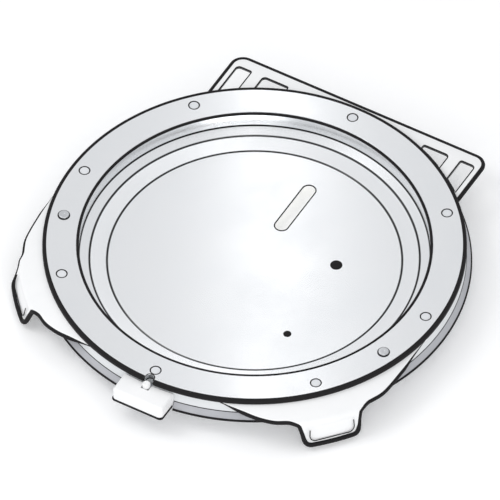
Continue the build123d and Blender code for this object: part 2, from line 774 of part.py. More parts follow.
# ---- rubber channel pushed over the pan's edge ----
with BuildPart() as pan_edge_seal:
    foot = pan_rim - edge_leg_h
    cap = ring_top - edge_gap
    with BuildSketch(Plane.XZ) as section:
        with BuildLine():
            Polyline(
                (pan_in_r - edge_leg_t, foot),
                (pan_in_r, foot),
                (pan_in_r, pan_rim),
                (pan_out_r, pan_rim),
                (pan_out_r, foot),
                (pan_out_r + edge_leg_t, foot),
                (pan_out_r + edge_leg_t, cap),
                (pan_in_r - edge_leg_t, cap),
                close=True,
            )
        make_face()
        fillet(section.vertices().group_by(Axis.Y)[-1], radius=edge_round_r)
    revolve(axis=Axis.Z)
write(pan_edge_seal, "pan_edge_seal")

# ---- closed pocket under the key slot, and the plate that the key bears on ----
with BuildPart() as key_pocket:
    with BuildSketch(Plane.XY.offset(under_z)):
        with Locations((0, slot_y)):
            Circle(pocket_r + pocket_t + pocket_flange)
    extrude(amount=-pocket_t)
    with BuildSketch(Plane.XY.offset(under_z)):
        with Locations((0, slot_y)):
            Circle(pocket_r + pocket_t)
    extrude(amount=-pocket_deep)
    with BuildSketch(Plane.XY.offset(under_z)):
        with Locations((0, slot_y)):
            Circle(pocket_r)
    extrude(amount=pocket_t - pocket_deep, mode=Mode.SUBTRACT)
write(key_pocket, "key_pocket")

with BuildPart() as slot_plate:
    with BuildSketch(Plane.XY.offset(under_z)):
        with Locations((0, slot_y)):
            Circle(pocket_r - part_gap)
            SlotOverall(slot_len, slot_w, rotation=90, mode=Mode.SUBTRACT)
    extrude(amount=-slot_plate_t)
write(slot_plate, "slot_plate")

# ---- stiffening ribs under the pan ----
rib_reach = floor_r - rib_end_gap
rib_boxes = {
    "pan_rib_cross": (0, 0, 2 * rib_reach, rib_w),
    "pan_rib_front": (0, -(rib_reach + rib_w / 2) / 2, rib_w, rib_reach - rib_w / 2),
    "pan_rib_left": (-side_rib_x, (rib_w + side_rib_len) / 2, rib_w, side_rib_len),
    "pan_rib_right": (side_rib_x, (rib_w + side_rib_len) / 2, rib_w, side_rib_len),
}
for rib_name, (x, y, size_x, size_y) in rib_boxes.items():
    with BuildPart() as rib:
        with BuildSketch(Plane.XY.offset(under_z)):
            with Locations((x, y)):
                Rectangle(size_x, size_y)
        extrude(amount=-rib_h)
        chamfer(rib.edges().group_by(Axis.Z)[0], length=rib_edge)
    write(rib, rib_name)

# ---- closed cup behind the pan's wall, which the bolt's nose enters ----
with BuildPart() as keeper_cup:
    with BuildSketch(Plane.XY.offset(bolt_z - part_gap - keeper_t)):
        with Locations((0, -pan_in_r + keeper_deep / 2)):
            Rectangle(keeper_w, keeper_deep)
        with Locations((0, -pan_in_r + pan_t)):
            Rectangle(keeper_w, 2 * pan_t)
        Circle(pan_in_r, mode=Mode.INTERSECT)
    extrude(amount=bolt_t + 2 * part_gap + 2 * keeper_t)
    with BuildSketch(Plane.XY.offset(bolt_z - part_gap)):
        with Locations((0, -pan_in_r + (keeper_deep - keeper_t) / 2)):
            Rectangle(bolt_w + 2 * part_gap, keeper_deep - keeper_t)
    extrude(amount=bolt_t + 2 * part_gap, mode=Mode.SUBTRACT)
    add(pan.part, mode=Mode.SUBTRACT)
write(keeper_cup, "keeper_cup")


def rubber_plug(place, head_r, head_h, stem_r, name):
    """A push-in plug: a domed head on the floor, a stem and a barb under the sheet."""
    with BuildPart() as plug:
        with BuildSketch(Plane.XZ):
            with BuildLine():
                rim = Line((0, floor_z + head_h), (head_r - head_h, floor_z + head_h))
                ThreePointArc(
                    rim @ 1,
                    (head_r - head_h * plug_shoulder, floor_z + head_h * (1 - plug_shoulder)),
                    (head_r, floor_z),
                )
                Polyline(
                    (head_r, floor_z),
                    (stem_r - pin_gap, floor_z),
                    (stem_r - pin_gap, under_z),
                    (stem_r + plug_barb, under_z - plug_barb),
                    (stem_r - plug_barb, under_z - plug_deep),
                    (0, under_z - plug_deep),
                    (0, floor_z + head_h),
                )
            make_face()
        revolve(axis=Axis.Z)
    with BuildPart() as placed:
        with Locations(place):
            add(plug.part)
    write(placed, name)


rubber_plug(drain_at, drain_r, drain_head_h, drain_stem_r, "drain_bung")
rubber_plug(breather_at, breather_r, breather_head_h, breather_stem_r, "breather_plug")
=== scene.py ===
"""Looks of a round manhole cover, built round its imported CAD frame."""

import logging
import math
from dataclasses import dataclass, field
from enum import Enum
from typing import Any, Callable, Iterable, Sequence

import bmesh
import bpy
from mathutils import Matrix, Vector


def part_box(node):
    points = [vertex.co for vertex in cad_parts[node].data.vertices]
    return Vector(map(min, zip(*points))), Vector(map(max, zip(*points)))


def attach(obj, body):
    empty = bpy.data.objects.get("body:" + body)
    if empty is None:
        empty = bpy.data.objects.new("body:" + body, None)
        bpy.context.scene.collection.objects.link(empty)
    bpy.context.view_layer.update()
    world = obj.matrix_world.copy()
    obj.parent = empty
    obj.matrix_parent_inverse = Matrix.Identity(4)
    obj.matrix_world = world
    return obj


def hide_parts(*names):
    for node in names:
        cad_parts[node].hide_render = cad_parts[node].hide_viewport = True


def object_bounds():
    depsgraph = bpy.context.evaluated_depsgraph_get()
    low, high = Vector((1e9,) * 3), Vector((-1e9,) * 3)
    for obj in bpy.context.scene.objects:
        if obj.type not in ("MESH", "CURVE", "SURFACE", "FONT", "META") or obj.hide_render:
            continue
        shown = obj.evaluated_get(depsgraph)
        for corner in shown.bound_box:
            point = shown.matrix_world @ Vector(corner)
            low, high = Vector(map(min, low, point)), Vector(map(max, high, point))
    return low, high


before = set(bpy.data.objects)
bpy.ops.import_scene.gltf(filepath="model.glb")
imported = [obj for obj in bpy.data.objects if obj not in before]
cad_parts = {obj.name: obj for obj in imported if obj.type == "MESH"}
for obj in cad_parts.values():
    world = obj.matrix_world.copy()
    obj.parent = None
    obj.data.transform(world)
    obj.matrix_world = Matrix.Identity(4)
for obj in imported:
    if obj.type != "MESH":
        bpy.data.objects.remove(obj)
CAD_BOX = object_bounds()

MM = 0.001
SAME_SPOT = 0.05 * MM  # points nearer than this are one point
ROUND = 320  # steps of the large turned pieces
LOG = logging.getLogger("manhole_cover")

Point = tuple[float, float]
Socket = bpy.types.NodeSocket


# ---------------------------------------------------------------- small tools


def linear(colour: str) -> tuple[float, float, float, float]:
    """Turns an sRGB hex colour to linear RGBA.

    Args:
        colour: six hex digits after a hash sign.

    Returns:
        The linear colour, with an alpha of 1.
    """
    parts = [int(colour[i : i + 2], 16) / 255 for i in (1, 3, 5)]
    red, green, blue = (
        p / 12.92 if p <= 0.04045 else ((p + 0.055) / 1.055) ** 2.4 for p in parts
    )
    return (red, green, blue, 1.0)


def add_node(
    tree: bpy.types.NodeTree,
    kind: str,
    settings: dict[str, Any] | None = None,
    inputs: dict[str | int, Any] | None = None,
) -> bpy.types.Node:
    """Adds a node, sets its properties, and fills or links its inputs.

    Args:
        tree: the node tree.
        kind: the node's type name.
        settings: properties of the node.
        inputs: values or output sockets, by input name or index.

    Returns:
        The new node.
    """
    node = tree.nodes.new(kind)
    for name, value in (settings or {}).items():
        setattr(node, name, value)
    for name, value in (inputs or {}).items():
        for item in value if isinstance(value, list) else [value]:
            if isinstance(item, Socket):
                tree.links.new(item, node.inputs[name])
            else:
                node.inputs[name].default_value = item
    return node


def smoothstep(low: float, high: float, value: float) -> float:
    """A smooth rise from 0 at low to 1 at high."""
    t = min(1.0, max(0.0, (value - low) / (high - low)))
    return t * t * (3 - 2 * t)


def rounded(corners: Sequence[tuple[float, float, float]], steps: int = 5) -> list[Point]:
    """Rounds the corners of a closed outline.

    Args:
        corners: x, y and radius of each corner, in order.
        steps: points along each rounded corner.

    Returns:
        The points of the rounded outline.
    """
    points: list[Point] = []
    count = len(corners)
    for i, (x, y, radius) in enumerate(corners):
        here = Vector((x, y))
        before = Vector(corners[i - 1][:2]) - here
        after = Vector(corners[(i + 1) % count][:2]) - here
        if radius <= 0:
            points.append((x, y))
            continue
        half = before.angle(after) / 2
        reach = min(radius / math.tan(half), 0.49 * before.length, 0.49 * after.length)
        radius = reach * math.tan(half)
        bisector = (before.normalized() + after.normalized()).normalized()
        middle = here + bisector * (radius / math.sin(half))
        start = here + before.normalized() * reach - middle
        stop = here + after.normalized() * reach - middle
        turn = start.angle_signed(stop)
        for k in range(steps + 1):
            angle = -turn * k / steps
            spun = Vector(
                (
                    start.x * math.cos(angle) - start.y * math.sin(angle),
                    start.x * math.sin(angle) + start.y * math.cos(angle),
                )
            )
            points.append(tuple(middle + spun))
    return points


def new_object(name: str, data: bpy.types.ID) -> bpy.types.Object:
    """Makes an object and links it to the scene.

    Args:
        name: the object's name.
        data: its mesh, curve, camera or light.

    Returns:
        The object, at the origin.
    """
    thing = bpy.data.objects.new(name, data)
    bpy.context.scene.collection.objects.link(thing)
    return thing


def new_piece(
    name: str, mesh: bpy.types.Mesh, finish: bpy.types.Material, sharp: float = 32.0
) -> bpy.types.Object:
    """Makes an object at the origin from a finished mesh.

    Args:
        name: the object's name.
        mesh: its mesh, already in place.
        finish: its material.
        sharp: edges that turn by more degrees than this stay sharp.

    Returns:
        The object, linked to the scene.
    """
    mesh.name = name
    mesh.materials.clear()
    mesh.materials.append(finish)
    mesh.polygons.foreach_set("use_smooth", [True] * len(mesh.polygons))
    mesh.set_sharp_from_angle(angle=math.radians(sharp))
    return new_object(name, mesh)


def settle(piece: bpy.types.Object) -> bpy.types.Object:
    """Turns a piece with modifiers into a plain mesh and removes the modifiers.

    Args:
        piece: the object with live modifiers.

    Returns:
        The same object, with its result as its mesh.
    """
    graph = bpy.context.evaluated_depsgraph_get()
    mesh = bpy.data.meshes.new_from_object(piece.evaluated_get(graph))
    piece.modifiers.clear()
    old, piece.data = piece.data, mesh
    mesh.name = piece.name
    bpy.data.meshes.remove(old)
    return piece


def closed_mesh(work: bmesh.types.BMesh, name: str) -> bpy.types.Mesh:
    """Turns working geometry into a mesh whose faces point outwards.

    Args:
        work: the closed geometry, freed here.
        name: the mesh's name.

    Returns:
        The mesh.
    """
    bmesh.ops.recalc_face_normals(work, faces=work.faces)
    mesh = bpy.data.meshes.new(name)
    work.to_mesh(mesh)
    work.free()
    return mesh


def lathe(
    section: Sequence[Point],
    steps: int = 256,
    arc: tuple[float, float] = (0.0, 360.0),
    soil: Sequence[float] | None = None,
) -> bpy.types.Mesh:
    """Turns a closed section round the Z axis.

    Args:
        section: radius and height of each point in metres, anticlockwise.
        steps: divisions of the arc.
        arc: first and last angle in degrees, from the latch side towards +X.
        soil: how much painted shade darkens each point, from 0 to 1.

    Returns:
        The closed mesh, with an attribute of painted shade.
    """
    whole = abs(arc[1] - arc[0]) >= 360.0
    columns = steps if whole else steps + 1
    work = bmesh.new()
    layer = work.verts.layers.float.new("soil")
    soil = soil or [0.0] * len(section)
    poles: dict[int, bmesh.types.BMVert] = {}
    grid: list[list[bmesh.types.BMVert]] = []
    for column in range(columns):
        angle = math.radians(arc[0] + (arc[1] - arc[0]) * column / steps)
        row = []
        for i, (radius, height) in enumerate(section):
            if radius < 1e-7 and i in poles:
                row.append(poles[i])
                continue
            vert = work.verts.new((radius * math.sin(angle), -radius * math.cos(angle), height))
            vert[layer] = soil[i]
            if radius < 1e-7:
                poles[i] = vert
            row.append(vert)
        grid.append(row)
    count = len(section)
    for column in range(steps):
        here, there = grid[column], grid[(column + 1) % columns]
        for i in range(count):
            j = (i + 1) % count
            corners = list(dict.fromkeys((here[i], there[i], there[j], here[j])))
            if len(corners) > 2:
                work.faces.new(corners)
    if not whole:
        work.faces.new(grid[0])
        work.faces.new(list(reversed(grid[-1])))
    return closed_mesh(work, "lathe")


def round_section(radius: float, middle: Point, steps: int = 12) -> list[Point]:
    """A circle's points, to be turned round the Z axis.

    Args:
        radius: the circle's radius.
        middle: radius and height of its centre.
        steps: the number of points.

    Returns:
        Radius and height of each point.
    """
    turns = [math.tau * k / steps for k in range(steps)]
    return [(middle[0] + radius * math.cos(t), middle[1] + radius * math.sin(t)) for t in turns]


def moved(mesh: bpy.types.Mesh, spot: Vector) -> bpy.types.Mesh:
    """Shifts a mesh to a spot."""
    mesh.transform(Matrix.Translation(spot))
    return mesh


def heading(turn: float) -> Vector:
    """The level direction at an angle in radians from the latch side towards +X."""
    return Vector((math.sin(turn), -math.cos(turn), 0.0))


def path_direction(path: Sequence[Vector], i: int, closed: bool = False) -> Vector:
    """The direction of a path at one of its points.

    Args:
        path: the points of the path.
        i: the point's number.
        closed: whether the path's end meets its start.

    Returns:
        The unit direction there.
    """
    last = len(path) - 1
    if closed:
        return (path[(i + 1) % len(path)] - path[i - 1]).normalized()
    return (path[min(i + 1, last)] - path[max(i - 1, 0)]).normalized()


def flat_sweep(
    outline: Sequence[Point], height: float, size: Point, closed: bool = False
) -> bpy.types.Mesh:
    """Carries an oval section along an outline that lies at one height.

    Args:
        outline: x and y of each point.
        height: the outline's height.
        size: the oval's half width and half height.
        closed: whether the outline's end meets its start.

    Returns:
        The closed mesh.
    """
    path = [Vector((x, y, height)) for x, y in outline]
    path = [p for i, p in enumerate(path) if i == 0 or (p - path[i - 1]).length > SAME_SPOT]
    ways = [path_direction(path, i, closed) for i in range(len(path))]
    return sweep(path, [Vector((way.y, -way.x, 0.0)) for way in ways], size, closed=closed)


def sweep(
    path: Sequence[Vector],
    aside: Sequence[Vector],
    size: Point,
    steps: int = 12,
    closed: bool = False,
    swell: Sequence[float] | None = None,
) -> bpy.types.Mesh:
    """Carries an oval section along a path.

    Args:
        path: the points of the path.
        aside: for each point, the direction of the oval's first half width.
        size: the oval's two half widths.
        steps: points round the oval.
        closed: whether the path's end meets its start.
        swell: a factor on the oval's size at each point.

    Returns:
        The closed mesh.
    """
    work = bmesh.new()
    rings = []
    for i, point in enumerate(path):
        share = swell[i] if swell else 1.0
        along = path_direction(path, i, closed)
        across = (aside[i] - along * aside[i].dot(along)).normalized()
        other = along.cross(across)
        rings.append(
            [
                work.verts.new(
                    point
                    + across * size[0] * share * math.cos(math.tau * k / steps)
                    + other * size[1] * share * math.sin(math.tau * k / steps)
                )
                for k in range(steps)
            ]
        )
    for here, there in zip(rings, rings[1:] + (rings[:1] if closed else [])):
        for k in range(steps):
            j = (k + 1) % steps
            work.faces.new((here[k], here[j], there[j], there[k]))
    if not closed:
        work.faces.new(rings[0])
        work.faces.new(list(reversed(rings[-1])))
    return closed_mesh(work, "sweep")


def prism(outline: Sequence[Point], low: float, high: float) -> bpy.types.Mesh:
    """Raises a flat outline into a closed prism.

    Args:
        outline: x and y of each corner.
        low: height of the bottom face.
        high: height of the top face.

    Returns:
        The closed mesh.
    """
    work = bmesh.new()
    bottom = [work.verts.new((x, y, low)) for x, y in outline]
    top = [work.verts.new((x, y, high)) for x, y in outline]
    work.faces.new(list(reversed(bottom)))
    work.faces.new(top)
    for i in range(len(outline)):
        j = (i + 1) % len(outline)
        work.faces.new((bottom[i], bottom[j], top[j], top[i]))
    return closed_mesh(work, "prism")


def cut(piece: bpy.types.Object, cutters: Iterable[bpy.types.Mesh]) -> None:
    """Subtracts each cutter from a piece.

    Args:
        piece: the object to cut.
        cutters: closed meshes, used up one by one.
    """
    for mesh in cutters:
        tool = new_object("cutter", mesh)
        change = piece.modifiers.new("cut", "BOOLEAN")
        change.operation = "DIFFERENCE"
        change.solver = "EXACT"
        change.object = tool
        settle(piece)
        bpy.data.objects.remove(tool)


# ---------------------------------------------------------------- finishes


class Grain(Enum):
    """How a surface was made, which decides its relief."""

    TURNED = "turned"  # concentric tool marks
    ROLLED = "rolled"  # long fine streaks of mill sheet
    PEEL = "peel"  # orange peel of a sprayed coat
    CAST = "cast"  # sand-cast skin under paint
    MOULDED = "moulded"  # fine even mould texture
    SPANGLE = "spangle"  # crystals of a zinc coat


@dataclass(frozen=True)
class Finish:
    """One material, from its maker's name, its colours and the way it was made."""

    name: str
    colour: str
    shade: str  # the second tint that patches of the surface drift to
    grain: Grain
    grain_mm: float
    relief_mm: float
    roughness: float
    vary: float = 0.06  # how far the roughness varies
    metallic: float = 0.0
    ior: float = 1.5
    patch_mm: float = 60.0
    patch_share: float = 0.5
    # Near-black colour of the painted shade that the mesh's attribute lays into creases, joints and
    # recesses.
    painted_shade_colour: str = "#1B1A1C"
    coat: float = 0.0
    wear: float = 0.0  # how much the edges are rubbed
    worn_colour: str = "#C2C5C8"
    wear_mm: float = 1.2
    chip_mm: float = 6.0
    glow: float = 0.0  # stands for light that keeps bouncing inside a pale pocket

    def build(self) -> bpy.types.Material:
        """Makes the node material.

        Returns:
            The material, reading Object coordinates and the attribute of painted shade that darkens creases,
            joints and recesses.
        """
        material = bpy.data.materials.new(self.name)
        material.use_nodes = True
        tree = material.node_tree
        shader = tree.nodes["Principled BSDF"]
        place = add_node(tree, "ShaderNodeTexCoord").outputs["Object"]
        patches = add_node(
            tree,
            "ShaderNodeTexNoise",
            inputs={"Vector": place, "Scale": 1 / (self.patch_mm * MM), "Detail": 4.0, "Roughness": 0.55},
        ).outputs["Fac"]
        tinted = {"Value": patches, "From Min": 0.35, "From Max": 0.7, "To Max": self.patch_share}
        amount = add_node(tree, "ShaderNodeMapRange", inputs=tinted).outputs["Result"]
        rubbed = self.edges(tree, place)
        # The last colour layer is painted shade: where the mesh's attribute asks for it, the surface goes
        # near-black as if in shadow.
        shade_amount = add_node(tree, "ShaderNodeAttribute", {"attribute_name": "soil"}).outputs["Fac"]
        colour = linear(self.colour)
        for share, over in ((amount, self.shade), (rubbed, self.worn_colour), (shade_amount, self.painted_shade_colour)):
            layer = {"Factor": share, 6: colour, 7: linear(over)}
            colour = add_node(tree, "ShaderNodeMix", {"data_type": "RGBA"}, layer).outputs[2]
        tree.links.new(colour, shader.inputs["Base Color"])
        uneven = {
            "Value": patches,
            "From Min": 0.3,
            "From Max": 0.7,
            "To Min": self.roughness - self.vary,
            "To Max": self.roughness + self.vary,
        }
        rough = add_node(tree, "ShaderNodeMapRange", inputs=uneven).outputs["Result"]
        change = {0: rubbed, 1: -0.5 * self.roughness, 2: rough}
        smoother = add_node(tree, "ShaderNodeMath", {"operation": "MULTIPLY_ADD"}, change).outputs["Value"]
        tree.links.new(smoother, shader.inputs["Roughness"])
        depth = {"Height": self.relief(tree, place), "Strength": 1.0, "Distance": self.relief_mm * MM}
        bump = add_node(tree, "ShaderNodeBump", inputs=depth)
        tree.links.new(bump.outputs["Normal"], shader.inputs["Normal"])
        if self.metallic < 0.5:
            shader.inputs["IOR"].default_value = self.ior
        shader.inputs["Metallic"].default_value = self.metallic
        shader.inputs["Coat Weight"].default_value = self.coat
        # Painted light: a finish with a glow emits its own colour, standing in for light that bounces inside
        # a pocket.
        shader.inputs["Emission Color"].default_value = linear(self.colour)
        shader.inputs["Emission Strength"].default_value = self.glow
        return material

    def edges(self, tree: bpy.types.NodeTree, place: Socket) -> Socket:
        """Adds the nodes that find rubbed edges, broken up by fine noise.

        Args:
            tree: the material's tree.
            place: the surface's own coordinates.

        Returns:
            A socket that is 0 on flats and reaches the wear on sharp edges.
        """
        reach = {"Radius": self.wear_mm * MM}
        eased = add_node(tree, "ShaderNodeBevel", {"samples": 6}, reach).outputs["Normal"]
        true = add_node(tree, "ShaderNodeNewGeometry").outputs["Normal"]
        match = add_node(tree, "ShaderNodeVectorMath", {"operation": "DOT_PRODUCT"}, {0: eased, 1: true})
        turned = {"Value": match.outputs["Value"], "From Min": 0.99, "From Max": 0.86}
        edge = add_node(tree, "ShaderNodeMapRange", inputs=turned).outputs["Result"]
        chip = {"Vector": place, "Scale": 1 / (self.chip_mm * MM), "Detail": 3.0}
        chips = add_node(tree, "ShaderNodeTexNoise", inputs=chip).outputs["Fac"]
        worn = {"Value": chips, "From Min": 0.42, "From Max": 0.62, "To Max": self.wear}
        patchy = add_node(tree, "ShaderNodeMapRange", inputs=worn).outputs["Result"]
        both = add_node(tree, "ShaderNodeMath", {"operation": "MULTIPLY"}, {0: edge, 1: patchy})
        return both.outputs["Value"]

    def relief(self, tree: bpy.types.NodeTree, place: Socket) -> Socket:
        """Adds the nodes of the grain's height.

        Args:
            tree: the material's tree.
            place: the surface's own coordinates.

        Returns:
            A socket that runs from about 0 to 1.
        """
        per_metre = 1 / (self.grain_mm * MM)
        if self.grain is Grain.TURNED:
            level = {0: place, 1: (1.0, 1.0, 0.0)}
            flat = add_node(tree, "ShaderNodeVectorMath", {"operation": "MULTIPLY"}, level).outputs["Vector"]
            length = add_node(tree, "ShaderNodeVectorMath", {"operation": "LENGTH"}, {0: flat})
            rings = {0: length.outputs["Value"], 1: per_metre}
            along = add_node(tree, "ShaderNodeMath", {"operation": "MULTIPLY"}, rings)
            marks = {"W": along.outputs["Value"], "Scale": 1.0, "Detail": 3.0}
            return add_node(tree, "ShaderNodeTexNoise", {"noise_dimensions": "1D"}, marks).outputs["Fac"]
        if self.grain is Grain.SPANGLE:
            crystals = {"Vector": place, "Scale": per_metre, "Randomness": 1.0}
            return add_node(tree, "ShaderNodeTexVoronoi", inputs=crystals).outputs["Distance"]
        if self.grain is Grain.ROLLED:
            stretch = {"Vector": place, "Scale": (0.04, 1.0, 1.0)}
            place = add_node(tree, "ShaderNodeMapping", inputs=stretch).outputs["Vector"]
        detail = {Grain.ROLLED: 4.0, Grain.PEEL: 1.0, Grain.CAST: 6.0, Grain.MOULDED: 2.0}[self.grain]
        skin = {"Vector": place, "Scale": per_metre, "Detail": detail}
        return add_node(tree, "ShaderNodeTexNoise", inputs=skin).outputs["Fac"]


FINISHES = (
    # Machined aluminium plate: fine rings from facing, bright and slightly satin.
    Finish(
        "turned_aluminium", "#F6F7F8", "#ECEEF0", Grain.TURNED, 4.0, 0.012, 0.22, 0.03,
        metallic=1.0, patch_mm=90, wear=0.5, worn_colour="#FFFFFF",
    ),
    # Pressed aluminium sheet: mill streaks, a little duller than the ring.
    Finish(
        "pressed_aluminium", "#F7F8F9", "#EEF0F2", Grain.ROLLED, 4.0, 0.008, 0.24, 0.03,
        metallic=1.0, patch_mm=120,
    ),
    # White polyester powder coat: glossy with orange peel.
    Finish(
        "white_powder_coat", "#F7F7F7", "#F1F2F2", Grain.PEEL, 3.0, 0.06, 0.38, 0.05,
        patch_mm=45, coat=0.15, wear=0.7,
    ),
    # White enamel baked on the inside of the pocket: pale and smooth, with a painted glow that stands for
    # light bouncing in the pocket, so that the slot reads light.
    Finish(
        "white_enamel", "#FAFAF9", "#F5F5F4", Grain.PEEL, 4.0, 0.02, 0.35, 0.04,
        patch_mm=30, coat=0.1, glow=0.16,
    ),
    # Light grey paint over a sand casting: a matt, slightly pitted skin, darker where it is rubbed.
    Finish(
        "painted_casting", "#E4E6E7", "#DBDDDF", Grain.CAST, 3.5, 0.18, 0.52, 0.06,
        patch_mm=40, wear=0.7, worn_colour="#9A9DA1",
    ),
    # Grey EPDM: dull, with a pale bloom.
    Finish("grey_epdm", "#B2B3B7", "#BEBFC3", Grain.MOULDED, 1.2, 0.06, 0.66, 0.05, patch_mm=25),
    # Black EPDM: dull, with a faint bloom.
    Finish(
        "black_epdm", "#131112", "#1D1B1D", Grain.MOULDED, 1.0, 0.06, 0.62, 0.05,
        ior=1.3, patch_mm=18,
    ),
    # Zinc-plated steel: bright with small crystals.
    Finish(
        "zinc_plate", "#C9CBCF", "#B4B7BC", Grain.SPANGLE, 5.0, 0.03, 0.36, 0.08,
        metallic=1.0, patch_mm=12, wear=0.5, worn_colour="#E4E6E8",
    ),
    # Ground stainless pin: a clean mirror with fine rings.
    Finish("ground_steel", "#D5D6D8", "#C6C8CB", Grain.TURNED, 0.8, 0.02, 0.28, metallic=1.0, patch_mm=12),
    # Moulded nylon plug in the ring's grey: soft and even.
    Finish("grey_nylon", "#E2E4E6", "#D8DADD", Grain.MOULDED, 0.9, 0.03, 0.46, patch_mm=10, wear=0.4),
    # Blued spring steel: dark, with a cold sheen.
    Finish("blued_steel", "#4A4F5C", "#3A3E49", Grain.ROLLED, 0.8, 0.01, 0.32, metallic=1.0, patch_mm=8),
)


# ---------------------------------------------------------------- patterns of repeated pieces


def pattern_tree(name: str, kinds: dict[str, str]) -> tuple[bpy.types.GeometryNodeTree, Any]:
    """Starts a pattern tree.

    Args:
        name: the tree's name.
        kinds: the kind of each input, by its name.

    Returns:
        The tree and the sockets of its inputs, by name.
    """
    tree = bpy.data.node_groups.new(name, "GeometryNodeTree")
    for label, kind in kinds.items():
        tree.interface.new_socket(label, in_out="INPUT", socket_type="NodeSocket" + kind)
    tree.interface.new_socket("Mesh", in_out="OUTPUT", socket_type="NodeSocketGeometry")
    return tree, add_node(tree, "NodeGroupInput").outputs


def finish_tree(tree: bpy.types.GeometryNodeTree, given: Any, points: Socket, lift: Socket | None) -> None:
    """Ends a pattern tree: copies of the template on points, made real and given their finish.

    Args:
        tree: the pattern's tree.
        given: the sockets of its inputs.
        points: the geometry whose points carry the copies.
        lift: how far the copies are raised, if at all.
    """
    template = add_node(tree, "GeometryNodeObjectInfo", inputs={"Object": given["Template"]})
    spots = {"Points": points, "Instance": template.outputs["Geometry"]}
    copies = add_node(tree, "GeometryNodeInstanceOnPoints", inputs=spots)
    if lift is not None:
        way = add_node(tree, "ShaderNodeCombineXYZ", inputs={"Z": lift})
        shift = {"Geometry": copies.outputs[0], "Translation": way.outputs[0]}
        copies = add_node(tree, "GeometryNodeTransform", inputs=shift)
    real = add_node(tree, "GeometryNodeRealizeInstances", inputs={"Geometry": copies.outputs[0]})
    coat = {"Geometry": real.outputs[0], "Material": given["Finish"]}
    painted = add_node(tree, "GeometryNodeSetMaterial", inputs=coat)
    add_node(tree, "NodeGroupOutput", inputs={"Mesh": painted.outputs[0]})


def bolt_circle_tree() -> bpy.types.GeometryNodeTree:
    """A tree that sets a template on four points at right angles and four between them.

    Returns:
        The tree, with Template, Radius, Side Angle, Height and Finish inputs.
    """
    kinds = {"Template": "Object", "Radius": "Float", "Side Angle": "Float", "Height": "Float"}
    tree, given = pattern_tree("bolt_circle", {**kinds, "Finish": "Material"})

    def across(operation: str) -> Socket:
        """Adds the nodes of a side of the rectangle that the four points between lie on.

        Args:
            operation: cosine for its width, sine for its depth.

        Returns:
            The socket of its length.
        """
        share = add_node(tree, "ShaderNodeMath", {"operation": operation}, {0: given["Side Angle"]})
        part = {0: given["Radius"], 1: share.outputs[0]}
        half = add_node(tree, "ShaderNodeMath", {"operation": "MULTIPLY"}, part)
        twice = {0: half.outputs[0], 1: 2.0}
        return add_node(tree, "ShaderNodeMath", {"operation": "MULTIPLY"}, twice).outputs[0]

    square = add_node(tree, "GeometryNodeMeshCircle", inputs={"Vertices": 4, "Radius": given["Radius"]})
    size = {"Size X": across("COSINE"), "Size Y": across("SINE"), "Vertices X": 2, "Vertices Y": 2}
    sides = add_node(tree, "GeometryNodeMeshGrid", inputs=size)
    both = [square.outputs["Mesh"], sides.outputs["Mesh"]]
    points = add_node(tree, "GeometryNodeJoinGeometry", inputs={"Geometry": both})
    finish_tree(tree, given, points.outputs[0], given["Height"])
    return tree


def row_tree() -> bpy.types.GeometryNodeTree:
    """A tree that repeats a template along a line or round a circle.

    Returns:
        The tree, with Template, Count, Start, Step, Radius and Finish inputs. A radius
        above zero sets the copies round a circle at Start.
    """
    kinds = {"Template": "Object", "Count": "Int", "Start": "Vector", "Step": "Vector", "Radius": "Float"}
    tree, given = pattern_tree("row_of_copies", {**kinds, "Finish": "Material"})
    run = {"Count": given["Count"], "Start Location": given["Start"], "Offset": given["Step"]}
    line = add_node(tree, "GeometryNodeMeshLine", inputs=run)
    ring = {"Vertices": given["Count"], "Radius": given["Radius"]}
    circle = add_node(tree, "GeometryNodeMeshCircle", inputs=ring)
    shift = {"Geometry": circle.outputs["Mesh"], "Translation": given["Start"]}
    placed = add_node(tree, "GeometryNodeTransform", inputs=shift)
    test = {0: given["Radius"], 1: 0.0}
    is_round = add_node(tree, "FunctionNodeCompare", {"operation": "GREATER_THAN"}, test)
    choice = {"Switch": is_round.outputs[0], "False": line.outputs["Mesh"], "True": placed.outputs[0]}
    points = add_node(tree, "GeometryNodeSwitch", {"input_type": "GEOMETRY"}, choice)
    finish_tree(tree, given, points.outputs[0], None)
    return tree


def repeat(
    name: str,
    tree: bpy.types.GeometryNodeTree,
    template: bpy.types.Mesh,
    values: dict[str, Any],
    finish: bpy.types.Material,
) -> bpy.types.Object:
    """Runs a pattern tree and keeps its result as a plain mesh.

    Args:
        name: the new piece's name.
        tree: the pattern.
        template: the mesh that is repeated.
        values: the tree's other inputs, by name.
        finish: the material of every copy.

    Returns:
        The finished piece.
    """
    model = new_piece("template", template, finish)
    piece = new_object(name, bpy.data.meshes.new(name))
    pattern = piece.modifiers.new("pattern", "NODES")
    pattern.node_group = tree
    for item in tree.interface.items_tree:
        if item.in_out == "INPUT":
            given = {"Template": model, "Finish": finish, **values}
            if item.name in given:
                pattern[item.identifier] = given[item.name]
    settle(piece)
    bpy.data.objects.remove(model)
    return piece


# ---------------------------------------------------------------- sub-assemblies


